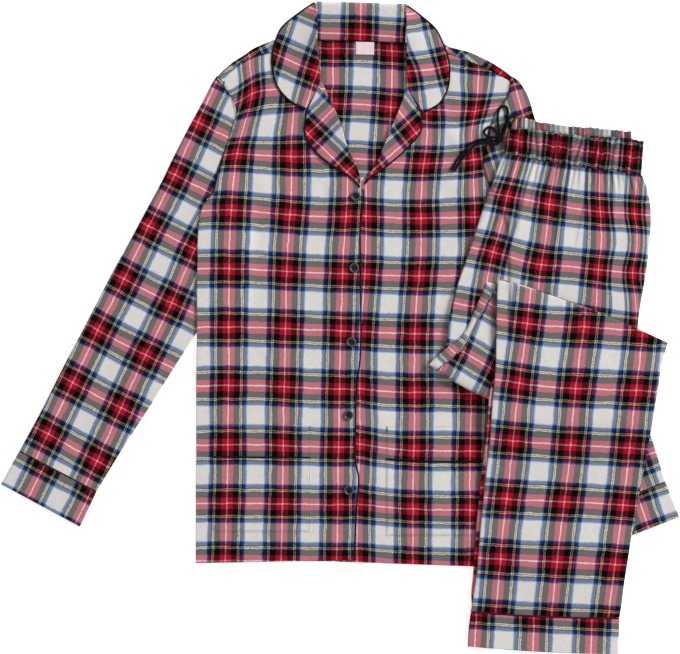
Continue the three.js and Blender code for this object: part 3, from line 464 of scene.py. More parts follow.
def tube(name, node, grid, level, weave, wall=CLOTH, open_start=True, crown=0.0):
    """A flattened tube of cloth. The grid's columns run from one side fold to the other."""
    half = wall + HOLLOW / 2
    full = half * rounded(grid.side, half)
    if not open_start:
        full = full * rounded(grid.along, half)
    middle = level + half

    def loop(upper, lower):
        return np.concatenate([upper, lower[:, -2:0:-1]], 1)

    x, y, share = loop(grid.x, grid.x), loop(grid.y, grid.y), loop(grid.share, grid.share)
    pull = np.where(np.minimum(share, 1 - share) * grid.wide < 2 * wall,
                    np.clip(1 - 2 * wall / grid.wide, 0, 1), 1.0)
    centre_x, centre_y = ((part[:, :1] + part[:, -1:]) / 2 for part in (grid.x, grid.y))
    hollow = full * (1 - wall / half)
    points = [
        points_of(x, y, loop(middle + full + crown, middle - full)),
        points_of(centre_x + (x - centre_x) * pull, centre_y + (y - centre_y) * pull,
                  loop(middle + hollow + crown, middle - hollow)),
    ]
    outer = numbers(*x.shape, wrap=True)
    inner = outer + x.size
    faces = [quads(outer), quads(inner)[:, ::-1], quads(np.stack([outer[-1], inner[-1]]))]
    if open_start:
        faces.append(quads(np.stack([inner[0], outer[0]])))
    piece = mesh_object(name, node, np.concatenate(points), facing_up(grid, faces), weave=weave)
    if not open_start:
        rework(piece.data, lambda work: bmesh.ops.remove_doubles(work, verts=work.verts, dist=1e-6))
    return piece


def border_of(x, y):
    """The grid positions once round a border, with the outward direction at each."""
    rows, columns = x.shape
    around = ([(0, j) for j in range(columns - 1)] + [(i, columns - 1) for i in range(rows - 1)]
              + [(rows - 1, j) for j in range(columns - 1, 0, -1)]
              + [(i, 0) for i in range(rows - 1, 0, -1)])
    i, j = np.array(around).T
    x, y = x[i, j], y[i, j]
    ahead_x, ahead_y = np.roll(x, -1) - np.roll(x, 1), np.roll(y, -1) - np.roll(y, 1)
    side = np.sign((x * np.roll(y, -1) - np.roll(x, -1) * y).sum())
    long = side * np.maximum(np.hypot(ahead_x, ahead_y), 1e-9)
    return i, j, ahead_y / long, -ahead_x / long


def stack(name, node, grid, bottom, top, layers, weave):
    """Folded layers: one body whose edge shows each layer as a round lip."""
    x, y = grid.x, grid.y
    bottom, top = bottom + 0 * x, top + 0 * x
    index = numbers(*x.shape)
    i, j, out_x, out_y = border_of(x, y)
    points = [points_of(x, y, bottom), points_of(x, y, top)]
    rings = [index[i, j]]
    for k in range(1, LIP_STEPS * layers):
        share = k / (LIP_STEPS * layers)
        lobe = 2 * (share * layers % 1) - 1
        out = LIP * math.sqrt(max(0, 1 - lobe * lobe))
        rings.append(2 * x.size + (k - 1) * len(i) + np.arange(len(i)))
        points.append(points_of(x[i, j] + out * out_x, y[i, j] + out * out_y,
                                bottom[i, j] * (1 - share) + top[i, j] * share))
    rings.append(x.size + index[i, j])
    rim = np.stack([np.append(ring, ring[0]) for ring in rings])
    return mesh_object(name, node, np.concatenate(points),
                       [quads(index + x.size), quads(index)[:, ::-1], quads(rim)], weave=weave, outward=True)


def rope(name, node, line, across, up, slot, look=None, sides=ROPE_SIDES):
    """A round or oval strip along a line of points, with its two radii, closed at its ends."""
    line = np.asarray(line, float)
    ahead = np.gradient(line, axis=0)
    ahead /= np.maximum(np.linalg.norm(ahead, axis=1, keepdims=True), 1e-9)
    aside = np.cross(ahead, UP)
    aside /= np.maximum(np.linalg.norm(aside, axis=1, keepdims=True), 1e-9)
    turn = np.linspace(0, 2 * math.pi, sides, endpoint=False)[:, None]
    ring = (line[:, None] + aside[:, None] * np.cos(turn) * across
            + np.cross(aside, ahead)[:, None] * np.sin(turn) * up)
    index = numbers(len(line), sides, wrap=True)
    tips = [line[:1] - ahead[:1] * up * 0.6, line[-1:] + ahead[-1:] * up * 0.6]
    first, last = len(line) * sides, len(line) * sides + 1
    caps = [(first, index[0, k + 1], index[0, k]) for k in range(sides)]
    caps += [(last, index[-1, k], index[-1, k + 1]) for k in range(sides)]
    return mesh_object(name, node, np.concatenate([ring.reshape(-1, 3), *tips]),
                       [quads(index), np.array(caps)], slot, look=look, outward=True)


def stitches(name, lines, thread, length=2.3, pitch=3.1, radius=0.28):
    """Rows of small stitches along lines of points, as one piece. Each is three rings of six points."""
    turn = np.linspace(0, 2 * math.pi, 6, endpoint=False)[:, None]
    swell = np.array([0.45, 1.0, 0.45])[:, None, None]
    rise = np.array([0.2, 0.9, 0.2])[:, None]
    caps = np.array([(0, k + 1, k) for k in range(1, 5)] + [(12, 12 + k, 13 + k) for k in range(1, 5)])
    points = []
    for line in lines:
        for k in range(int(run_of(line)[-1] / pitch)):
            centre = points_at(line, k * pitch + np.array([0, 0.5, 1]) * length)
            ahead = centre[-1] - centre[0]
            ahead /= max(np.linalg.norm(ahead), 1e-9)
            across = np.array([-ahead[1], ahead[0], 0])
            section = radius * swell * (across * np.cos(turn) + UP * np.sin(turn))
            points.append((centre + UP * radius * rise)[:, None] + section)
    start = 18 * np.arange(len(points))[:, None, None]
    return mesh_object(name, None, points, [quads(numbers(3, 6, wrap=True)) + start, caps + start],
                       look=thread)


# Cloth coordinates. Each row says which crossing of the tartan lies where in the photograph:
# whole numbers are the middles of the white squares and halves those of the red.
def weave_map(controls):
    """A smooth map from places on the table to repeats across and along."""
    controls = np.asarray(controls, float)
    scale = 100.0
    p = photo_place(controls[:, 2:4]) / scale
    count = len(p)

    def bend(q):
        away = ((q[:, None] - p) ** 2).sum(-1)
        return away * np.log(np.maximum(away, 1e-12))

    def plane(q):
        return np.column_stack([np.ones(len(q)), q])

    system = np.zeros((count + 3, count + 3))
    system[:count, :count] = bend(p) + (0.002 if count > 3 else 0) * np.eye(count)
    system[:count, count:] = plane(p)
    system[count:, :count] = plane(p).T
    wanted = np.zeros((count + 3, 2))
    wanted[:count] = controls[:, :2]
    weights = np.linalg.lstsq(system, wanted, rcond=None)[0]

    def weave(x, y):
        q = np.column_stack([np.ravel(x), np.ravel(y)]) / scale
        value = np.hstack([bend(q), plane(q)]) @ weights
        return value[:, 0].reshape(np.shape(x)), value[:, 1].reshape(np.shape(x))

    return weave


def photo_place(pixels):
    """Millimetres on the table from places in the photograph."""
    return np.array([PHOTO_LEFT, PHOTO_TOP]) + MM_PER_PIXEL * np.array([1, -1]) * pixels


def smooth_step(value, low, high):
    share = np.clip((value - low) / (high - low), 0, 1)
    return share * share * (3 - 2 * share)


def folds(x, y, table):
    """Soft ridges along straight runs, from rows of (x1, y1, x2, y2, half width, height)."""
    total = np.zeros(np.shape(x))
    for x1, y1, x2, y2, width, height in table:
        dx, dy = x2 - x1, y2 - y1
        long = math.hypot(dx, dy)
        along = ((x - x1) * dx + (y - y1) * dy) / long
        away = ((x - x1) * dy - (y - y1) * dx) / long
        taper = smooth_step(along, -0.15 * long, 0.35 * long)
        taper = taper * (1 - smooth_step(along, 0.65 * long, 1.15 * long))
        total += height * taper * np.exp(-((away / width) ** 2))
    return np.maximum(total, 0)


def outside(outline, x, y):
    """How far places lie outside an outline, or 0 inside it."""
    closed = [*outline, outline[0]]
    within = np.zeros(np.shape(x), bool)
    for (ax, ay), (bx, by) in zip(closed, closed[1:]):
        if ay != by:
            within ^= ((ay > y) != (by > y)) & (x < ax + (y - ay) * (bx - ax) / (by - ay))
    return np.where(within, 0, away_from(closed, x, y))


def over(pieces, x, y):
    """The height that cloth takes over pieces beneath it: rows of (outline, top, near, fade)."""
    height = np.zeros(np.shape(x))
    for outline, top, near, fade in pieces:
        away = outside(outline, x, y)
        height = np.maximum(height, top * (1 - smooth_step(away, near, near + fade)))
    return height


def edge_line(rows, column):
    """A table's left edge, from column 0, or its right one, from column 2."""
    return np.array([row[column:column + 2] for row in rows], float)


def outline_of(rows):
    return [*edge_line(rows, 0), *edge_line(rows, 2)[::-1]]


# The shirt's tables: a section runs from (left x, left y) to (right x, right y), and may bow along Y.
BACK = [
    (-192, -313, 224.5, -319, 5), (-192, -244, 224.5, -244), (-191.5, -172, 224.5, -172),
    (-191.5, -86, 224.5, -86), (-191, -46, 224.5, -46), (-190.5, -14, 224.5, -14),
    (-190.5, 24, 224.5, 24), (-190, 80, 224.5, 80), (-188.5, 132, 222.5, 135), (-182.5, 162, 212.5, 160),
    (-168, 182, 199, 186), (-158.5, 222, 189.5, 220), (-146.5, 257, 195.5, 257), (-138.5, 286, 207, 286),
    (-144, 304, 222, 306), (-156, 325, 226, 326), (-163, 334, 228, 334), (-144, 352, 202, 352),
    (-128.5, 362, 172.5, 366), (-112, 373, 146, 373), (-84, 384, 138, 378),
]
RIGHT_FRONT = [
    (-192, -313, 17.5, -309), (-192, -244, 20.5, -244), (-192, -201, 23.5, -201),
    (-191.5, -172, 19, -172), (-191.5, -86, 20.5, -86), (-191, -46, 25, -46), (-190.5, -14, 26.5, -14),
    (-190.5, 24, 26.5, 24), (-190, 80, 26, 80), (-188.5, 132, 25.5, 135), (-182.5, 162, 29.5, 163),
    (-168, 182, 29.5, 184), (-158.5, 222, 20.5, 217), (-146.5, 257, 8.5, 244), (-138.5, 286, -5.5, 287),
    (-144, 304, -16, 309), (-156, 325, -25.5, 330), (-140, 346, -30, 344), (-126, 356.5, -34, 358),
    (-91, 366, -46, 369),
]
LEFT_FRONT = [
    (-6, -311, 224.5, -319), (-3, -244, 224.5, -244), (-4, -172, 224.5, -172), (-3, -86, 224.5, -86),
    (3, -14, 224.5, -14), (3, 80, 224.5, 80), (3, 132, 222.5, 135), (6, 158, 212.5, 160),
    (14, 178, 199, 186), (44, 213, 189.5, 220), (62, 250, 195.5, 257), (76, 284, 207, 286),
    (84, 306, 222, 306), (87, 320, 226, 326), (89, 336, 207, 337), (91, 350, 187, 347.5),
    (97, 361, 147, 363),
]
RIGHT_STRIP = [
    (-84, 384, -84, 368.7), (-112, 373, -91.2, 366.6), (-128.5, 362, -126.3, 357.1),
    (-144, 352, -140.4, 346.5), (-163, 334, -156.5, 326),
]
LEFT_STRIP = [
    (138, 378, 138, 367.1), (146, 373, 147.2, 363.6), (172.5, 366, 187.3, 348.1),
    (202, 352, 207.3, 337.6), (228, 334, 226.4, 326.8),
]
RIGHT_SLEEVE = [
    (-164, 335, -130, 300), (-172, 322, -131, 282), (-179, 308, -135, 258), (-189, 289, -146, 226),
    (-201.5, 266, -156, 192), (-221, 228, -168, 156), (-239, 191, -168, 118), (-259, 154, -166, 80),
    (-279.5, 115.5, -172, 42), (-297, 84, -182, 10), (-314, 52, -195, -13), (-340, 1, -222, -55),
    (-366, -48, -250, -100), (-398, -111.5, -290, -162), (-426, -163, -323.5, -217),
]
LEFT_SLEEVE = [
    (229, 334, 198, 304), (239, 326, 190, 280), (250.5, 306, 182, 250), (259, 277.5, 180, 215),
    (270, 247, 184, 185), (283, 212, 194, 160), (297, 173, 205, 130), (318, 116, 213, 80),
    (339, 58, 216, 24), (356, 11, 220, -14), (368, -22, 226, -32), (390, -80, 252, -92),
    (412, -140, 282, -155), (432, -204, 323.5, -246.5),
]
RIGHT_CUFF = [(-427, -165, -324.5, -219), (-439.5, -187, -335.5, -242.5), (-451, -208, -346, -264.5)]
LEFT_CUFF = [(433, -206.2, 324.5, -248.7), (442.5, -229.5, 333, -271.5), (451, -251.5, 341.5, -294)]

# Collar and lapels: two more columns, the roll's rise and the underside's base.
RIGHT_LEAF = [
    (-29, 429, -34, 431.5, 5, 3), (-30, 418, -54.5, 417.5, 5, 3), (-30.5, 400, -76.5, 399, 5, 3),
    (-30, 378, -86, 378, 5, 3), (-28.5, 360, -90, 357.5, 5, 3), (-27, 345, -88, 337, 4.6, 3),
    (-26, 335, -81.5, 319, 4, 3), (-27, 328, -69, 304.5, 3.4, 3), (-27.5, 325, -55, 295, 3, 3),
    (-28, 323, -45, 292, 2.8, 3),
]
LEFT_LEAF = [
    (85, 425, 88.5, 427.5, 5, 3), (87.5, 414, 108, 413, 5, 3), (87.5, 396, 126.5, 396, 5, 3),
    (88, 376, 136.5, 376, 5, 3), (88, 358, 142.5, 358, 5, 3), (88, 342, 144.5, 340, 4.6, 3),
    (87.5, 330, 142, 318.5, 4, 3), (88, 324, 132.5, 300.5, 3.4, 3), (88.5, 321, 119.5, 291.5, 3, 3),
    (89, 319, 109.5, 287, 2.8, 3),
]
RIGHT_LAPEL = [
    (-28.4, 321.9, -44, 288.5, 2.6, 3), (-22, 313, -46, 275, 2.6, 3), (-15, 302, -46.5, 260, 2.6, 3),
    (-5.5, 287, -42, 248.5, 2.6, 3), (2, 265, -29.5, 231, 2.4, 3.6), (8.5, 244, -7.5, 214.5, 1.8, 4.6),
    (15, 228, 9, 204.5, 1.2, 4.6), (22, 214, 22, 193.5, 0.6, 4.6), (27, 199, 26.5, 187, 0.2, 4.6),
]
LEFT_LAPEL = [
    (88.8, 318.2, 108, 284.5, 2.6, 3), (86.5, 311, 106.5, 275, 2.6, 3), (83, 303.5, 107, 264, 2.6, 3),
    (78, 290, 99.5, 251.5, 2.6, 3), (71, 273.5, 83.5, 234.5, 2.2, 3), (63, 254, 66, 219.5, 1.6, 3),
    (54, 232.5, 51.5, 208, 1, 3), (46, 216, 42, 203, 0.4, 3), (39, 204, 36, 196.5, 0.2, 3),
    (33, 194.5, 31.8, 191.5, 0, 3),
]
COLLAR_BACK = [
    (-0.5, 1.95), (1.5, 2.0), (8, 2.6), (20, 4.2), (34, 6.4), (44, 8), (48.6, 7.6), (50.2, 5.2),
    (49.6, 2.6), (46, 0.9), (18, 0.7),
]
NECK_SEAM_Y = 383.1
COLLAR_BACK_X = -33.5
COLLAR_BACK_WIDTH = 120.5
COLLAR_BACK_TURN = -1.6
BUTTONS = [(20.5, 175), (18.5, 79.5), (14.5, -19), (11, -116), (11.5, -216)]
# Pockets: left, right, top, the piping's height at the left and at the right, foot, and the bow.
POCKETS = {
    "right": (-170.5, -39, -129.5, -171.8, -173, -271.5, 0),
    "left": (61, 195, -130.5, -174.5, -177, -276.5, -2.5),
}

# Where the tartan's crossings lie: repeat across, repeat along, and the place in the photograph.
RIGHT_FRONT_WEAVE = [
    (0, 0, 206, 183), (0, 1, 201.5, 240), (0, 2, 200.5, 298), (0, 3, 201, 356.5), (0, 4, 200.5, 415.5),
    (0, 5, 200, 474.5), (0, 6, 198.5, 532), (1, -1, 266.5, 127), (1, 0, 262.5, 183.5), (1, 1, 259.5, 241),
    (1, 2, 258, 298.5), (1, 3, 257, 356.7), (1, 4, 255.7, 414.8), (1, 5, 255.5, 474.5),
    (1, 6, 253.7, 532), (2, 0, 320.5, 187.5), (2, 1, 316, 245), (2, 2, 314, 301), (2, 3, 312.5, 359),
    (2, 4, 311.5, 417.5), (2, 5, 310.5, 475.5), (2, 6, 310, 533), (0.5, -0.5, 237, 154),
    (0.5, -1.5, 252, 94), (0, -2, 232, 81), (0.5, -2, 250, 68), (1, -2, 272, 62),
]
LEFT_FRONT_WEAVE = [
    (0, 0, 393, 190), (0, 1, 393, 247), (0, 2, 389, 304), (0, 3, 386.5, 362), (0, 4, 386.5, 420.5),
    (0, 5, 385, 478), (0, 6, 384.5, 535.5), (1, -2, 451, 81), (1, -1, 452.5, 137), (1, 0, 448.5, 189),
    (1, 1, 449, 247), (1, 2, 444, 304.5), (1, 4, 443, 421), (1, 5, 441.7, 481), (1, 6, 441.5, 538),
    (2, -2, 502, 85), (2, -1, 489, 129), (1.5, -1.5, 475.5, 111), (1.5, -0.5, 473.5, 160),
    (1.5, 0.5, 475, 217), (1.5, 3.5, 471, 394), (1.5, 4.5, 470, 451), (1.5, 5.5, 470, 510),
    (-0.5, 0.5, 366, 216), (-0.5, 1.5, 365, 274), (-0.5, 4.5, 360, 444),
]
RIGHT_SLEEVE_WEAVE = [
    (0, 0, 234, 109), (0, 1, 211, 161), (0, 2, 186, 213), (0, 3, 160.5, 265), (0, 4, 135, 317.5),
    (0, 5, 109.5, 369.5), (0, 6, 84.5, 421.5), (0, 7, 60, 473), (1, 4, 183.5, 340.5), (1, 5, 157.5, 393),
    (-0.5, 0.5, 198, 122.5), (-0.5, 2.5, 149, 226), (-0.5, 4.5, 98, 330), (-0.5, 6.5, 48, 434),
    (0.5, 2.5, 195, 249), (0.5, 4.5, 145.5, 355), (0.5, 6.5, 97, 461),
]
RIGHT_CUFF_WEAVE = [(0, 0, 57.5, 499.5), (-1, 0, 10, 474.3), (0, 1, 30.5, 553.5), (-1, 1, -17, 528.3)]
LEFT_SLEEVE_WEAVE = [
    (0.5, 0, 519, 100), (1.5, 0, 572, 82), (0.5, 7, 640.6, 487.5), (1, 7, 667.5, 478), (1, 6.5, 658, 451),
    (0.5, 6.5, 631, 460.5),
]
LEFT_CUFF_WEAVE = [(0, 0, 670, 503), (-0.5, 0, 643, 512.5), (0, 1, 689, 557.5), (-0.5, 1, 662, 567)]
BACK_WEAVE = [
    (0, 0, 363, 76.5), (0, 1, 359.5, 131.5), (-0.5, -0.5, 333.5, 48.5), (0.5, -0.5, 392, 51),
    (-0.5, 0.5, 331.5, 104), (0.5, 0.5, 391, 107),
]
RIGHT_STRIP_WEAVE = [(0, 0, 233, 84), (1, 0, 282, 55), (0, 1, 262, 133)]
LEFT_STRIP_WEAVE = [(0.5, 0.5, 503, 70), (-0.5, 0.5, 460, 33), (0.5, 1.5, 466, 113)]
RIGHT_LEAF_WEAVE = [
    (0, 0, 302, 33.5), (0.5, 0.5, 317, 72.5), (0, 1, 285, 89), (0.5, 1, 308.5, 99), (0, -0.5, 310, 8),
    (0, 0.5, 292, 62),
]
LEFT_LEAF_WEAVE = [
    (0, 0, 416.5, 42), (0.5, 0, 443.5, 37), (0, 1, 434, 98), (0, 0.5, 428, 70), (-0.5, 1, 408, 102),
    (0.5, 0.5, 448, 66), (-0.5, 0.5, 405, 72), (0, -0.5, 411, 14),
]
COLLAR_BACK_WEAVE = [
    (0, 0, 331.5, 5.5), (1, 0, 388, 8), (0, 0.5, 330, 33.5), (1, 0.5, 387, 36.3), (0.5, 0.5, 360.5, 34.5),
]
RIGHT_LAPEL_WEAVE = [(0.5, 0.5, 308, 134), (1.5, 0.5, 347, 172), (0.5, -0.5, 347, 96), (1.5, -0.5, 386, 134)]
LEFT_LAPEL_WEAVE = [(0.5, 0.5, 416, 133), (-0.5, 0.5, 371, 172), (0.5, -0.5, 381, 88), (-0.5, -0.5, 336, 127)]

# Soft folds: (x1, y1, x2, y2, half width, height).
SHIRT_FOLDS = [
    (-150, 250, -60, 120, 16, 0.9), (-172, 190, -110, 60, 13, 0.8), (-60, 60, -90, -90, 18, 0.6),
    (-140, -20, -160, -220, 14, 0.7), (-20, -120, -35, -290, 15, 0.6), (150, 300, 205, 235, 8, 1.7),
    (128, 280, 190, 205, 9, 1.5), (100, 240, 176, 165, 11, 1.1), (165, 325, 214, 285, 7, 1.4),
    (205, 180, 178, 60, 10, 1.2), (150, 120, 170, -20, 14, 0.9), (95, 60, 110, -100, 18, 0.6),
    (140, -60, 128, -290, 15, 0.7), (200, -120, 196, -300, 10, 0.9), (50, -30, 62, -290, 14, 0.5),
]
SLEEVE_FOLDS = [
    (-186, 290, -215, 170, 9, 1.0), (-150, 215, -205, 110, 10, 0.9), (-250, 160, -290, 60, 10, 0.9),
    (-200, 70, -260, -30, 12, 0.8), (-320, 20, -365, -90, 9, 0.9), (-262, -60, -330, -190, 11, 0.7),
    (-370, -80, -410, -160, 8, 0.8),
]
SLEEVE_UNDER_BODY = [(outline_of(RIGHT_SLEEVE[5:12]), TUBE_TOP + GAP, 34, 26)]
COVER_TOP = 190  # above this the right front no longer lies on the left one


def body_level(x, y):
    """The shirt's lift over the sleeve that lies beneath its side."""
    return over(SLEEVE_UNDER_BODY, x, y)


def right_front_level(x, y):
    covering = smooth_step(x, -22, -8) * (1 - smooth_step(y, COVER_TOP, COVER_TOP + 22))
    return FRONT_LEVEL + (UPPER_LEVEL - FRONT_LEVEL) * covering + body_level(x, y)


def right_front_top(x, y):
    return right_front_level(x, y) + CLOTH + folds(x, y, SHIRT_FOLDS)


def front_top(x, y):
    """The level on which things on a front lie."""
    return np.where(x < 22, right_front_level(x, y), FRONT_LEVEL) + CLOTH + folds(x, y, SHIRT_FOLDS)


# Painted shade in the crease of each armhole seam and of the neck seam, and a wide painted shade in the neck
# below the collar.
PAINTED_SHADE_LINES += [
    (np.vstack([(-178.5, 168), edge_line(BACK[10:18], 0)]), 1.7, 0.6),
    (edge_line(BACK[5:18], 2), 2.0, 0.75),
    (np.array([(COLLAR_BACK_X, NECK_SEAM_Y - 0.5), (87, NECK_SEAM_Y - 4)]), 1.8, 0.65),
    (np.array([(COLLAR_BACK_X, NECK_SEAM_Y - 6), (87, NECK_SEAM_Y - 8)]), 14.0, 0.25),
]

# The back lies flat on the table. Its upper half shows in the neck.
grid = surface(BACK, 5.0)
back = shell("back_panel", "shirt_back", grid, body_level(grid.x, grid.y), CLOTH, weave_map(BACK_WEAVE))
strips = [shell("shoulder_strip_" + side, "shirt_back", surface(rows, 3.0), LAYER + 0.15, CLOTH,
                weave_map(places))
          for side, rows, places in (("right", RIGHT_STRIP, RIGHT_STRIP_WEAVE),
                                     ("left", LEFT_STRIP, LEFT_STRIP_WEAVE))]

# The fronts, the right one over the left.
front_weaves = {"right": weave_map(RIGHT_FRONT_WEAVE), "left": weave_map(LEFT_FRONT_WEAVE)}
grid = surface(RIGHT_FRONT, 3.6)
right_front = shell("front_right", "shirt_front_right", grid, right_front_top(grid.x, grid.y) - CLOTH, CLOTH,
                    front_weaves["right"])
grid = surface(LEFT_FRONT, 3.6)
lift = folds(grid.x, grid.y, SHIRT_FOLDS) * smooth_step(grid.x, 20, 45)
left_front = shell("front_left", "shirt_front_left", grid, FRONT_LEVEL + lift, CLOTH, front_weaves["left"])

# Sleeves and cuffs
TUCK = 0.25  # how far a sleeve runs under the armhole's edge
RIGHT_UNDERARM = 167  # below this the right sleeve passes beneath the body
PIPING_WIDTH = 1.8
PIPING_BULGE = 0.8


def armhole(rows, column, tuck):
    """Points along the curve of a table's edge, moved across by tuck."""
    return fine_curve(edge_line(rows, column), 12) + np.array([tuck, 0])


def stopped_at(rows, edge):
    """Sections whose right end is brought back to where they meet an edge."""
    stopped = []
    for left_x, left_y, right_x, right_y in fine_curve(rows, 10):
        dx, dy = right_x - left_x, right_y - left_y
        share = 1.0
        for (ax, ay), (bx, by) in zip(edge, edge[1:]):
            ex, ey = bx - ax, by - ay
            cross = dx * ey - dy * ex
            if abs(cross) < 1e-9:
                continue
            along = ((ax - left_x) * ey - (ay - left_y) * ex) / cross
            on_edge = ((ax - left_x) * dy - (ay - left_y) * dx) / cross
            if 0 <= on_edge <= 1 and 0 < along < share:
                share = along
        stopped.append((left_x, left_y, left_x + dx * share, left_y + dy * share))
    return stopped


def sleeve(side, rows, places, fold_table, edge):
    grid = surface(stopped_at(rows, edge), 4.0)
    crown = folds(grid.x, grid.y, fold_table) * rounded(grid.side, 14)
    piece = tube("sleeve_tube_" + side, "sleeve_" + side, grid, 0.0, weave_map(places), crown=crown)


def seam_ring(name, node, before, after, level, slot):
    """The piping round a flattened tube, between two sections."""
    section = (np.array(bowed(before), float) + bowed(after)) / 2
    left, right = section[0:2], section[2:4]
    wide = np.linalg.norm(right - left)
    chord = np.array([*(right - left) / wide, 0.0])
    axis = np.array([chord[1], -chord[0], 0.0])
    half = PIPED_HEIGHT / 2
    centre = np.array([*(left + right) / 2, level + half])
    bend = np.linspace(math.pi / 2, -math.pi / 2, 9)[1:-1]
    sweep = np.linspace(-1, 1, 60)
    turn = np.concatenate([0 * sweep + math.pi / 2, bend, 0 * sweep - math.pi / 2, bend - math.pi])
    shift = np.concatenate([sweep, 0 * bend + 1, -sweep, 0 * bend - 1])
    normal = np.outer(np.cos(turn), chord) + np.outer(np.sin(turn), UP)
    points = centre + np.outer(shift, chord) * (wide / 2 - half) + normal * half
    share = np.clip((points - centre) @ chord / wide + 0.5, 0, 1)
    points[:, 1] += 4 * share * (1 - share) * section[4]
    angle = np.linspace(0, 2 * math.pi, ROPE_SIDES, endpoint=False)[:, None]
    ring = (points[:, None] - normal[:, None] * PIPING_BULGE * (1 - np.sin(angle))
            + axis * np.cos(angle) * PIPING_WIDTH / 2)
    index = numbers(len(points), ROPE_SIDES, wrap=True)
    mesh_object(name, node, ring, [quads(np.vstack([index, index[:1]]))], slot, outward=True)


right_armhole = [place for place in armhole(BACK[8:18], 0, TUCK) if place[1] > RIGHT_UNDERARM]
sleeve("right", RIGHT_SLEEVE, RIGHT_SLEEVE_WEAVE, SLEEVE_FOLDS, right_armhole)
sleeve("left", LEFT_SLEEVE, LEFT_SLEEVE_WEAVE, [], armhole(BACK[4:18], 2, -TUCK))
for side, rows, places in (("right", RIGHT_CUFF, RIGHT_CUFF_WEAVE), ("left", LEFT_CUFF, LEFT_CUFF_WEAVE)):
    cuff = tube("cuff_tube_" + side, "cuff_" + side, surface(rows, 3.4), 0.0, weave_map(places), CUFF_CLOTH)
seam_ring("piping_ring_right", "cuff_piping_right", RIGHT_SLEEVE[-1], RIGHT_CUFF[0], 0, BLACK_CORD)
seam_ring("piping_ring_left", "cuff_piping_left", LEFT_SLEEVE[-1], LEFT_CUFF[0], 0, BLACK_CORD)

# Pockets
POCKET_GAP = 0.05
POCKET_CLOTH = 0.7
POCKET_EDGE = 2.8
POCKET_PIPING = 0.9


def on_front(x, y):
    return front_top(x, y) + POCKET_GAP


def pocket(side, left, right, top, left_piping, right_piping, foot, bow):
    room = POCKET_PIPING + GAP
    for part, node, low, high, share in (
        ("body", "pocket_", (foot, foot, 0), (left_piping - room, right_piping - room, bow), 0.98),
        ("hem", "pocket_band_", (left_piping + room, right_piping + room, bow), (top, top, 0), 0.97),
    ):
        grid = surface([(left, row[0], right, row[1], row[2]) for row in (low, high)], 3.4)
        piece = shell(f"pocket_{part}_{side}", node + side, grid, on_front(grid.x, grid.y), POCKET_CLOTH,
                      front_weaves[side], POCKET_EDGE)
    share = np.linspace(0, 1, 50)
    x = left + (right - left) * share
    y = left_piping + (right_piping - left_piping) * share + 4 * share * (1 - share) * bow
    rope("pocket_cord_" + side, "pocket_piping_" + side, np.column_stack([x, y, front_top(x, y) + 0.6]),
         POCKET_PIPING, POCKET_PIPING, BLACK_CORD)


for side, sizes in POCKETS.items():
    pocket(side, *sizes)

# Collar and lapels
TRIM_OUT = 0.9
TRIM_ACROSS, TRIM_UP = 1.15, 0.8


def column(rows, number, t):
    return np.interp(t, np.arange(len(rows)), [row[number] for row in rows])


def turned_over(name, node, rows, places, stand=0.0):
    """A leaf or lapel that rises to its roll along its left column, with a stand beneath the roll."""
    grid = surface([row[:4] for row in rows], 2.6)
    base = column(rows, 5, grid.t)
    level = base + column(rows, 4, grid.t) * (1 - grid.share) ** 2
    near = grid.share < stand
    thick = np.where(near, level + CLOTH - base, CLOTH)
    return shell(name, node, grid, np.where(near, base, level), thick, weave_map(places))


def trim_line(name, node, rows, side, base=None):
    """Piping beside a table's right edge, on the side given."""
    edge = fine_curve(edge_line(rows, 2), 12)
    ahead = np.gradient(edge, axis=0)
    ahead /= np.linalg.norm(ahead, axis=1, keepdims=True)
    centre = edge + np.stack([ahead[:, 1], -ahead[:, 0]], -1) * side * TRIM_OUT
    if base is None:
        base = column(rows, 5, np.linspace(0, len(rows) - 1, len(edge)))
    rope(name, node, np.column_stack([centre, base + 0.7 + np.zeros(len(edge))]), TRIM_ACROSS, TRIM_UP,
         BLACK_CORD)


leaves = [turned_over("collar_leaf_right", "collar", RIGHT_LEAF, RIGHT_LEAF_WEAVE, 0.035),
          turned_over("collar_leaf_left", "collar", LEFT_LEAF, LEFT_LEAF_WEAVE, 0.035)]

# The fall behind the neck: one profile along the seam, a wall thick.
profile = catmull(COLLAR_BACK, np.linspace(0, len(COLLAR_BACK) - 1, 70))
ahead = np.gradient(profile, axis=0)
ahead /= np.linalg.norm(ahead, axis=1, keepdims=True)
normal = np.stack([-ahead[:, 1], ahead[:, 0]], -1)
spread = spaced(COLLAR_BACK_WIDTH, 3.5)[:, None]
end_round = rounded(np.minimum(spread, COLLAR_BACK_WIDTH - spread), 1.0)[:, :, None]
turn_by = math.radians(COLLAR_BACK_TURN)
walls = []
for sign in (1, -1):
    line = profile + sign * normal * (CLOTH / 2) * end_round
    y = line[..., 0]
    walls.append(points_of(COLLAR_BACK_X + spread * math.cos(turn_by) - y * math.sin(turn_by),
                           NECK_SEAM_Y + spread * math.sin(turn_by) + y * math.cos(turn_by), line[..., 1]))
index = numbers(len(spread), len(profile))
other = index + index.size
pairs = [(index[0], other[0]), (other[-1], index[-1]), (other[:, 0], index[:, 0]),
         (index[:, -1], other[:, -1])]
fall = mesh_object("collar_back_fall", "collar", np.concatenate(walls),
                   [quads(index), quads(other)[:, ::-1], *(quads(np.stack(pair)) for pair in pairs)],
                   weave=weave_map(COLLAR_BACK_WEAVE), outward=True)
for side, rows, places, area in (("right", RIGHT_LAPEL, RIGHT_LAPEL_WEAVE, 0.0045),
                                 ("left", LEFT_LAPEL, LEFT_LAPEL_WEAVE, 0.0036)):
    lapel = turned_over("lapel_facing_" + side, "lapel_" + side, rows, places)
trim_line("collar_cord_right", "collar_piping_right", RIGHT_LEAF, 1)
trim_line("collar_cord_left", "collar_piping_left", LEFT_LEAF, -1)
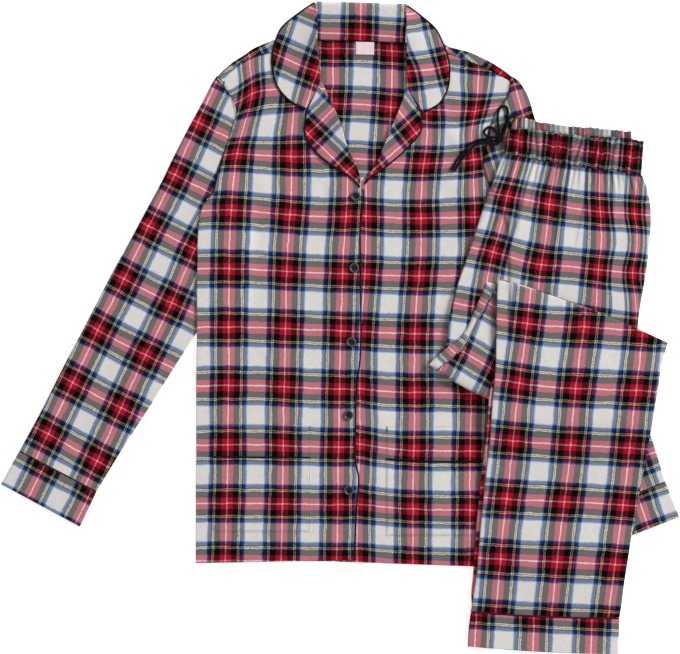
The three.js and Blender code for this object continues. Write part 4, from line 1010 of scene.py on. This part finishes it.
trim_line("lapel_cord_right", "lapel_piping_right", RIGHT_LAPEL, 1)
trim_line("lapel_cord_left", "lapel_piping_left", LEFT_LAPEL, -1)
trim_line("front_cord_right", "front_piping_right", RIGHT_FRONT[:12], 1, base=UPPER_LEVEL)

# The trousers' tables
HIPS = [
    (216.8, 231.0, 400.4, 202.5, -1.2), (204.5, 196, 407, 184), (192.5, 164.5, 411.5, 160),
    (181.5, 130, 411.5, 130), (170, 95.5, 408.5, 95.5), (158, 61, 403.5, 61), (149.5, 32, 398, 31),
    (144, 1, 394.5, 2), (141, -22, 394, -25), (126, -41, 394, -62, -18), (119, -49, 393, -92, -40),
]
FOLDED_BACK = [
    (119, -49, 393, -92, -40), (128, -39, 405, -70, -22), (143, -26.5, 418, -46, -3), (166, -6, 428, -30),
    (181, 27, 429, -22, 2), (195, 60, 428, -18, 5),
]
# Further columns: the top of the lower leg, the least height of its underside, and its reach at the left.
LEGS = [
    (209, 64, 434.5, -20, 6, 18, 14.9, -3), (207.5, 32, 431, -31, 4, 18.1, 14.9, -3),
    (207, 1, 426, -50, 2, 18.1, 14.9, -2), (206, -50, 422, -76, 0, 18.1, 14.9, -1),
    (203, -85, 418, -100, 0, 18.1, 14.9, 3.5), (200.5, -118, 414, -126, 0, 17.6, 14.9, 5),
    (198.5, -150, 409, -155, 0, 12.8, 9, 5), (195.5, -178, 404, -184, 0, 9.4, 5.6, 5),
    (192.5, -204, 399, -213, 0, 8.6, 0, 5), (187, -258, 389, -267, 0, 8.4, 0, 5),
    (184, -292, 383, -302, 0, 8.3, 0, 5), (181.5, -325, 377.5, -337, 0, 7.4, 0, 4),
    (178, -350, 374.5, -362, 0, 5.4, 0, 3), (173.5, -376.5, 371, -385, -2, 3.6, 0, -2),
]
HIDDEN_HEM = [(170.5, -402, 370.5, -409, -2, 3.6, 0, -2), (169.5, -421, 370, -431, -2, 3.6, 0, -2)]
HEM = [(173.2, -378.7, 371, -387.2, -2), (170.5, -402, 370.5, -409, -2), (169.5, -423.5, 370, -434, -2)]
FRONT_BAND = [
    (223, 263, 217, 230.5), (248, 264.5, 245, 226), (276, 260.5, 272, 220.5), (309.5, 256.5, 302.5, 216),
    (345.5, 254, 336, 211), (378, 252.5, 367, 205.5), (403, 247, 399.8, 201.4),
]
BACK_BAND = [
    (229, 271, 219, 233), (234, 277.5, 228, 231.5), (248, 278, 245, 229), (262, 274, 262, 225),
    (284.5, 270.5, 284, 221), (311, 267.5, 311, 217), (340, 265.5, 340, 213), (367, 263, 367, 208),
    (387, 260.5, 388, 206),
]
UNDER_LEG_INSET = 4
HEM_BASE = 3.9
HIP_TOP = 8
HIP_LEVEL = HIP_TOP + GAP
FOLD_LEVEL = HIP_LEVEL + LAYER
FOLD_HEIGHT = 4.8
BAND_HEIGHT = 2.8
LEFT_POCKET_OUTLINE = [(61, -276.5), (195, -276.5), (195, -130.5), (61, -130.5)]
UNDER_TROUSERS = [
    (outline_of(BACK), 3.0, 30, 26), (outline_of(LEFT_SLEEVE), TUBE_TOP, 30, 26),
    (outline_of([LEFT_SLEEVE[-1], *LEFT_CUFF]), 4.5, 30, 26), (LEFT_POCKET_OUTLINE, 5.1, 24, 26),
]
HIP_WEAVE = [
    (-1, 0, 498, 167), (0, 0, 533, 173), (1, 0, 576.5, 180.5), (2, 0, 618.5, 184.5), (-1, 1, 482, 220),
    (0, 1, 522.5, 230), (1, 1, 573, 237.5), (2, 1, 622, 242), (-1, 2, 465, 277), (1, 2, 567.5, 293),
    (2, 2, 618.5, 301), (-1, 3, 458, 331), (-0.5, 0.5, 507, 196), (0.5, 0.5, 549, 204.5),
    (1.5, 0.5, 600, 212), (2.5, 0.5, 634, 214), (-0.5, 1.5, 493, 252), (0.5, 1.5, 541, 265),
    (1.5, 1.5, 598, 270), (2.5, 1.5, 632, 273),
]
FRONT_BAND_WEAVE = [
    (-0.5, -0.5, 518, 141), (0.5, -0.5, 556, 147), (1.5, -0.5, 598, 153), (2.5, -0.5, 630, 157),
    (-0.5, -1, 521, 113), (2.5, -1, 632, 129), (-0.5, 0, 515, 170), (2.5, 0, 627, 185),
]
BACK_BAND_WEAVE = [
    (-0.5, 0, 516, 124), (0, 0, 528, 124), (0.5, 0, 541, 125.5), (1, 0, 562, 127.5), (1.5, 0, 584, 130),
    (2, 0, 605, 132), (2.5, 0, 623, 134), (0, 0.5, 529, 155), (2, 0.5, 604, 160),
]
LEG_WEAVE = [
    (0, 0, 497, 349), (0, -1, 503.5, 290.5), (1, 0, 549, 357), (1, 1, 543, 415), (1, 2, 538.5, 471),
    (1, 3, 531, 530), (1, 4, 525.8, 591), (1, -1, 556.5, 297), (2, 0, 609, 359.5), (2, 1, 602, 418),
    (2, 2, 597, 474.5), (2, 3, 589.5, 532), (2, 4, 582, 593.5), (0.5, -0.5, 526.5, 323.5),
    (1.5, -0.5, 583, 327), (2.5, -0.5, 642, 331), (0.5, 0.5, 518.5, 383),
]
UNDER_LEG_WEAVE = [
    (0.5, 0, 490, 397), (0.5, 1, 486, 455), (0.5, 2, 482.5, 521), (0.5, 3, 477, 585), (1.5, 0, 547, 399),
    (1.5, 1, 543, 457), (1.5, 2, 539, 523), (1.5, 3, 534, 587),
]
HEM_WEAVE = [
    (0, 0, 503.6, 640), (1, 0, 562, 643), (0, -1, 506, 583), (1, -1, 564, 586), (0.5, 0, 533, 641.5),
    (-0.5, 0, 475, 638.5),
]
FLAP_WEAVE = [
    (0, 0, 486, 333.5), (0, 1, 464, 384), (-1, 0, 438, 305), (-1, 1, 416, 355), (0, 0.5, 476.5, 360),
]
FLAP_STRIP_WEAVE = [
    (0, 0.5, 480, 302), (0, 1, 468.5, 325), (0, 1.5, 452.5, 351), (0, 2, 434, 366),
    (0.2, 0.5, 490, 307.6), (0.2, 1, 478.5, 331), (0.2, 1.5, 460, 358), (0.2, 2, 441, 375),
]
# The inseam that shows on the folded-back legs, in the photograph
FLAP_SEAM = [
    (497, 284), (489, 298), (483, 310), (477, 320), (472, 330), (467, 341), (460, 350), (452, 358),
    (444, 364), (438, 369), (428, 371),
]
# Where each gather of the hips starts, how far down it runs in millimetres, and how high it stands.
HIP_GATHERS = [
    (0.03, 60, 1.2), (0.075, 26, 0.9), (0.11, 95, 1.5), (0.155, 34, 1.0), (0.19, 18, 1.1),
    (0.235, 120, 1.6), (0.28, 40, 1.1), (0.315, 22, 0.9), (0.36, 75, 1.4), (0.405, 30, 1.2),
    (0.44, 20, 0.9), (0.485, 105, 1.5), (0.53, 36, 1.0), (0.57, 24, 1.2), (0.615, 80, 1.3),
    (0.66, 28, 0.9), (0.70, 44, 1.3), (0.745, 20, 1.0), (0.79, 90, 1.5), (0.835, 32, 1.1),
    (0.875, 22, 0.9), (0.92, 60, 1.3), (0.965, 26, 0.9),
]
HIP_FOLDS = [
    (200, 150, 176, 20, 12, 0.8), (250, 170, 232, 60, 14, 0.7), (300, 140, 262, 20, 16, 0.9),
    (352, 150, 330, 40, 13, 0.7), (392, 150, 384, 60, 8, 0.9), (240, 20, 290, -10, 14, 0.6),
]
# Where each gather of the waistband lies, as a share of its length, and how deep it is.
FRONT_GATHERS = [
    (0.02, 0.7), (0.06, 1.0), (0.095, 0.6), (0.14, 1.0), (0.185, 0.8), (0.22, 1.0), (0.27, 0.9),
    (0.31, 0.6), (0.355, 1.0), (0.40, 0.8), (0.435, 1.0), (0.49, 0.7), (0.53, 1.0), (0.575, 0.9),
    (0.615, 0.6), (0.66, 1.0), (0.70, 0.9), (0.745, 0.7), (0.79, 1.0), (0.835, 0.8), (0.875, 1.0),
    (0.925, 0.8), (0.965, 0.9),
]
BACK_GATHERS = [
    (0.03, 0.8), (0.08, 1.0), (0.12, 0.6), (0.17, 1.0), (0.235, 0.7), (0.27, 1.0), (0.33, 0.5),
    (0.39, 0.9), (0.43, 0.6), (0.49, 1.0), (0.55, 0.7), (0.60, 1.0), (0.63, 0.5), (0.70, 0.8),
    (0.76, 1.0), (0.80, 0.6), (0.86, 1.0), (0.91, 0.7), (0.96, 1.0),
]


def ground_level(x, y):
    return over(UNDER_TROUSERS, x, y)


def hip_gathers(grid, shift, width, reach, join):
    """Each gather's line down the hips, as high as its row says and fading over its run."""
    total = np.zeros(grid.share.shape)
    for place, run, height in HIP_GATHERS:
        wander = 0.006 * np.sin(grid.along / 17 + 40 * place)
        line = np.exp(-(((grid.share - place - wander + shift) / width) ** 2))
        total = join(total, height * line * np.exp(-((grid.along / (reach * run)) ** 2)))
    return total


band_foot, band_head = edge_line(FRONT_BAND, 2), edge_line(FRONT_BAND, 0)
seam_line = photo_place(np.array(FLAP_SEAM, float))
# Painted shade along the waistband's foot and head, a wider painted shade on the hips below it, and painted
# shade in the flap's inseam.
PAINTED_SHADE_LINES += [(band_foot, 1.5, 0.5), (band_head + np.array([0, 0.8]), 1.8, 0.45),
          (band_foot - np.array([0, 1.5]), 6.0, 0.22), (seam_line[1:-1], 1.3, 0.4)]

# Hidden layers of the hips, which stop a little below the waist, and the front over them.
hip_weave = weave_map(HIP_WEAVE)
first, second = (np.array(row[:4], float) for row in HIPS[:2])
grid = surface([tuple(first * 0.92 + second * 0.08), *HIPS[1:]], 5.0)
inner_hips = stack("hip_layers", "hip_inner_layers", grid, ground_level(grid.x, grid.y), HIP_TOP, 3,
                   hip_weave)
grid = surface(HIPS, 2.4)
relief = np.minimum(hip_gathers(grid, 0.0, 0.011 + 0.00011 * grid.along, 1.0, np.add), 2.0)
lift = np.minimum(relief + folds(grid.x, grid.y, HIP_FOLDS), 2.0) * (1 - smooth_step(30 - grid.y, 0, 30))
# Painted shade beside each gather, on its left, the side turned away from the light.
gather_shade = 0.55 * hip_gathers(grid, 0.014 + 0.0001 * grid.along, 0.006, 1.1, np.maximum)
hip_front = shell("hip_panel", "hip_front", grid, HIP_LEVEL + lift, CLOTH, hip_weave, edge=0.9,
                  dark=np.minimum(gather_shade, 0.6))

# The folded-back legs. An inseam runs beside the folded edge, and the cloth beyond it has its own lie.
strip_outline = [*seam_line, (100, -49), (150, 90), (240, 160)]
flap_weave, strip_weave = weave_map(FLAP_WEAVE), weave_map(FLAP_STRIP_WEAVE)


def flap_cloth(x, y):
    beyond = outside(strip_outline, x, y) == 0
    return [np.where(beyond, strip, flap) for strip, flap in zip(strip_weave(x, y), flap_weave(x, y))]


PAINTED_SHADE_LINES.append((edge_line(LEGS[:5], 0) - np.array([1.0, 0]), 5.5, 0.5))  # the lower leg's edge shades the flap
grid = surface(FOLDED_BACK, 1.7)
puff = 2.4 * (rounded(np.minimum(grid.side, grid.end), 9) - 1)
groove = 0.8 * np.exp(-((away_from(seam_line, grid.x, grid.y) / 2.0) ** 2))
flap = stack("folded_legs", "leg_folded_back", grid, FOLD_LEVEL, FOLD_LEVEL + FOLD_HEIGHT + puff - groove, 4,
             flap_cloth)
PAINTED_SHADE_LINES.pop()

# The lower legs, the hem and its piping
under_rows = LEGS + HIDDEN_HEM
grid = surface([(row[0] - row[7], row[1], row[2] - UNDER_LEG_INSET, row[3], row[4]) for row in under_rows],
               5.0)
under_leg = stack("leg_layers", "leg_under", grid,
                  np.maximum(column(under_rows, 6, grid.t), ground_level(grid.x, grid.y)),
                  column(under_rows, 5, grid.t), 2, weave_map(UNDER_LEG_WEAVE))
grid = surface(LEGS, 4.0)
upper_leg = tube("leg_tube", "leg_upper", grid, column(LEGS, 5, grid.t) + GAP, weave_map(LEG_WEAVE),
                 open_start=False)
hem = tube("hem_tube", "leg_hem", surface(HEM, 3.6), HEM_BASE, weave_map(HEM_WEAVE))
seam_ring("hem_cord", "leg_hem_piping", LEGS[-1], HEM[0], HEM_BASE, "dark_red_piping")


# The waistbands
def gathered(share, table, narrow=0.42):
    """1 on the crests and less in the troughs between them."""
    places, depths = np.array(table).T[:, :, None, None]
    pitch = np.diff(places[:, 0, 0]).mean()
    return 1 - (depths * np.exp(-(((share - places) / (pitch * narrow)) ** 2))).max(0)


def band(name, node, rows, table, level_of, top_of, depth, weave, foot):
    """A gathered band. Its top edge is scalloped and it is drawn in near the head and, by foot, below."""
    grid = surface(rows, 1.5)
    along, down = grid.along / grid.length, grid.share
    crest = gathered(along + 0.012 * np.sin(9 * along + 3 * down), table)
    drawn = 0.35 * np.exp(-(((down - 0.12) / 0.05) ** 2)) + foot * np.exp(-(((down - 0.93) / 0.05) ** 2))
    bottom = level_of(grid.x, grid.y)
    top = top_of - depth * (1 - crest) - 0.5 * drawn
    push = (crest - 0.5) * np.clip(1 - 7 * down, 0, 1) * 1.6
    out_x, out_y = grid.x[:, :1] - grid.x[:, -1:], grid.y[:, :1] - grid.y[:, -1:]
    tall = np.hypot(out_x, out_y)
    grid.x = grid.x + push * out_x / tall
    grid.y = grid.y + push * out_y / tall
    # Painted shade in the troughs between the gathers.
    return shell(name, node, grid, bottom, top - bottom, weave, dark=0.78 * (1 - crest) ** 1.6)


def squeezed(places, amount, wander):
    """A weave that hides more of the white in the gathers than of the red."""
    weave = weave_map(places)

    def drawn_in(x, y):
        across, along = weave(x, y)
        ripple = np.sin(0.31 * x + 0.1 * y) + np.sin(0.53 * x) * np.sin(0.07 * x) + 0.5 * np.sin(1.13 * x)
        return across + amount * np.sin(2 * math.pi * across) / (2 * math.pi), along + wander * ripple

    return drawn_in


bands = [
    band("waist_front", "waistband_front", FRONT_BAND, FRONT_GATHERS, lambda x, y: HIP_LEVEL + 0 * x,
         HIP_LEVEL + BAND_HEIGHT, 1.7, squeezed(FRONT_BAND_WEAVE, 0.25, 0.009), 0.9),
    band("waist_back", "waistband_back", BACK_BAND, BACK_GATHERS, ground_level, HIP_TOP, 2.2,
         squeezed(BACK_BAND_WEAVE, 0.2, 0.02), 0.0),
]

# Buttons: a dished disc with a rim and four holes, and the thread through them
HOLE_RADIUS = 1.3
HOLE_DEPTH = 1.75
HOLE_OFF = 1.95
BUTTON_RADIUS = 6.3
BUTTON_THICK = 2.8
BUTTON_RINGS = [
    0.45, 0.8, 1.1, 1.4, 1.7, 2.0, 2.3, 2.6, 2.9, 3.2, 3.6, 4.0, 4.3, 4.5, 4.7, 4.9, 5.2, 5.5, 5.8, 6.05,
    6.22, BUTTON_RADIUS,
]
BUTTON_SIDE = [(BUTTON_RADIUS, 1.5), (BUTTON_RADIUS, 0.6), (6.1, 0.15), (5.6, 0.0)]  # radius and height
BUTTON_TURNS = (17, 61, 5, 38, 74)
BUTTON_LEVEL = UPPER_LEVEL + LAYER
BUTTON_SEGMENTS = 72


def button(number, x, y):
    turn = np.linspace(0, 2 * math.pi, BUTTON_SEGMENTS, endpoint=False)
    holes = math.radians(BUTTON_TURNS[number - 1]) + np.arange(5) * math.pi / 2
    hole_x, hole_y = HOLE_OFF * np.cos(holes), HOLE_OFF * np.sin(holes)
    radii = np.array(BUTTON_RINGS)[:, None]
    px, py = radii * np.cos(turn), radii * np.sin(turn)
    dish = 0.8 * (1 - smooth_step(radii, 4.1, 5.0)) - 0.12 * smooth_step(radii, 4.9, 5.3)
    brim = 0.65 * (1 - np.sqrt(np.clip(1 - np.clip((radii - 5.5) / 0.8, 0, 1) ** 2, 0, 1)))
    top = BUTTON_THICK - 0.1 - dish - brim + 0 * px
    for hx, hy in zip(hole_x[:4], hole_y):
        top -= HOLE_DEPTH * (1 - smooth_step(np.hypot(px - hx, py - hy), 0.75, HOLE_RADIUS))
    radius, height = np.array(BUTTON_SIDE).T[:, :, None]
    points = np.concatenate([points_of(px, py, top),
                             points_of(radius * np.cos(turn), radius * np.sin(turn), height),
                             [(0, 0, top[0].mean()), (0, 0, 0)]])
    index = numbers(len(BUTTON_RINGS) + len(BUTTON_SIDE), BUTTON_SEGMENTS, wrap=True)
    middle, foot = (np.full(BUTTON_SEGMENTS, len(points) - back) for back in (2, 1))
    fans = [np.stack([middle, index[0, :-1], index[0, 1:]], -1),
            np.stack([foot, index[-1, 1:], index[-1, :-1]], -1)]
    piece = mesh_object(f"button_disc_{number}", f"button_{number}", points + (x, y, BUTTON_LEVEL),
                        [quads(index), *fans], "button_plastic", outward=True)
    away = np.hypot(points[:, 0], points[:, 1])
    pale = 0.3 * smooth_step(away, 3.0, 3.5) + 0.7 * smooth_step(away, 4.5, 5.1)
    piece.data.attributes.new("rim", "FLOAT", "POINT").data.foreach_set("value", pale)
    share = np.linspace(0, 1, 9)
    bow = BUTTON_LEVEL + BUTTON_THICK - 1.5 + 1.3 * np.sqrt(np.sin(math.pi * share))
    for bar, k in enumerate((0, 2), 1):
        line = [x + hole_x[k] * (1 - share) + hole_x[k + 1] * share,
                y + hole_y[k] * (1 - share) + hole_y[k + 1] * share, bow]
        rope(f"button_thread_{number}_{bar}", None, np.column_stack(line), 0.42, 0.32, BLACK_CORD,
             "dark_thread", sides=8)


for number, (x, y) in enumerate(BUTTONS, 1):
    button(number, x, y)

# Neck label, bare
grid = surface([(20.5, 363.4, 45, 362.7), (20.5, 380.2, 45, 379.6)], 2.4)
label = shell("neck_tag", "neck_label", grid, 1.5 + 0.25 * np.sin(grid.x / 3.1) ** 2, 0.6, edge=0.4,
              slot="label_cloth")

# Drawstring: the knot's windings, and the free cords
KNOT_TURNS = 3.4
share = np.linspace(0, 1, 150)
angle = 2 * math.pi * KNOT_TURNS * share
reach = np.sqrt(np.clip(1 - (2 * share - 1) ** 2 * 0.45, 0, 1))
windings = np.column_stack([
    KNOT.x + (KNOT.width - CORD) / 2 * reach * np.cos(angle),
    KNOT.y + (KNOT.length / 2 - 2.6) * (2 * share - 1) + 0.9 * np.cos(angle),
    KNOT.z + (KNOT.height - CORD) / 2 * reach * np.sin(angle),
])
rope("knot_wraps", "drawstring_knot", windings, 1.6, 1.5, LACE, sides=12)


def free_cord(name, route):
    line = fine_curve([(x, y, CORD_LEVEL + lift) for x, y, lift in route], 24)
    line = points_at(line, np.linspace(0, run_of(line)[-1], 90))
    line[:, 2] = np.maximum(line[:, 2], front_top(line[:, 0], line[:, 1]) + CORD / 2 + 0.2)
    curve = bpy.data.curves.new(name + "_lace", "CURVE")
    curve.dimensions = "3D"
    curve.bevel_depth = CORD / 2 * MM
    curve.bevel_resolution = 5
    curve.use_fill_caps = True
    spline = curve.splines.new("POLY")
    spline.points.add(len(line) - 1)
    for point, place in zip(spline.points, line):
        point.co = (*place * MM, 1.0)
    curve.materials.append(MATERIALS[LACE])
    piece = link(name + "_lace", curve)
    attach(piece, "root")
    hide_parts(name)


for name, route in ROUTES.items():
    free_cord(name, route)

# Stitching
STITCH_INSET = 1.9


def stitch_line(points, height, every=4.0):
    """A line of stitches between corners, on a level that height works out."""
    points = np.array(points, float)
    long = run_of(points)[-1]
    x, y = points_at(points, np.linspace(0, long, max(2, int(long / every)))).T
    return np.column_stack([x, y, height(x, y)])


def on_pocket(x, y):
    return on_front(x, y) + POCKET_CLOTH


for side, (left, right, top, left_piping, right_piping, foot, bow) in POCKETS.items():
    inner_left, inner_right, inner_foot = left + STITCH_INSET, right - STITCH_INSET, foot + STITCH_INSET
    rows = [
        [(inner_left, left_piping - 2.5), (inner_left, inner_foot), (inner_right, inner_foot),
         (inner_right, right_piping - 2.5)],
        [(inner_left, left_piping + 2.5), (inner_left, top - 1)],
        [(inner_right, right_piping + 2.5), (inner_right, top - 1)],
    ]
    stitches("pocket_stitches_" + side, [stitch_line(row, on_pocket) for row in rows], "dark_thread",
             radius=0.16)
    ticks = [stitch_line([(x, top - 0.6), (x, top - 9.5)], on_pocket, 2.0)
             for x in (left + 1.0, left + 1.7, right - 1.0, right - 1.7)]
    stitches("pocket_corner_stitches_" + side, ticks, "dark_thread", 1.7, 1.9, 0.24)
    stitches("pocket_top_stitches_" + side,
             [stitch_line([(left + 1, top - 0.9), (right - 1, top - 0.9)], on_pocket)], "sewing_thread",
             radius=0.22)
for side, ends, height in (("right", [(-190, -296.5), (14, -293)], right_front_top),
                           ("left", [(22, -295), (170, -300)], front_top)):
    stitches("hem_stitches_" + side, [stitch_line(ends, height)], "dark_thread", radius=0.18)

# Stage and light
FLOOR_REACH = 3.0
FLOOR_DROP = 0.0002
KEY_PLACE = (8.4, 5.2, 6.0)
PLAIN_WHITE = (1, 1, 1, 1)
floor_look = Look("floor", 0.9, Base_Color=(0.93, 0.93, 0.93, 1), Emission_Color=PLAIN_WHITE,
                  Emission_Strength=0.6)
floor_mesh = bpy.data.meshes.new("floor")
corners = [(i * FLOOR_REACH, j * FLOOR_REACH, 0) for i, j in ((-1, -1), (1, -1), (1, 1), (-1, 1))]
floor_mesh.from_pydata(corners, [], [(0, 1, 2, 3)])
floor_mesh.materials.append(floor_look.material)
floor = link("floor", floor_mesh)
floor.location.z = -FLOOR_DROP
world = bpy.data.worlds.new("studio")
bpy.context.scene.world = world
world.use_nodes = True
background = world.node_tree.nodes["Background"]
background.inputs["Color"].default_value = PLAIN_WHITE
background.inputs["Strength"].default_value = 0.45
light_data = bpy.data.lights.new("key", "AREA")
light_data.energy = 1330
light_data.size = 3.6
light = link("key", light_data)
light.location = KEY_PLACE
light.rotation_euler = (-Vector(KEY_PLACE)).to_track_quat("-Z", "Y").to_euler()
bpy.context.scene.view_settings.view_transform = "Standard"
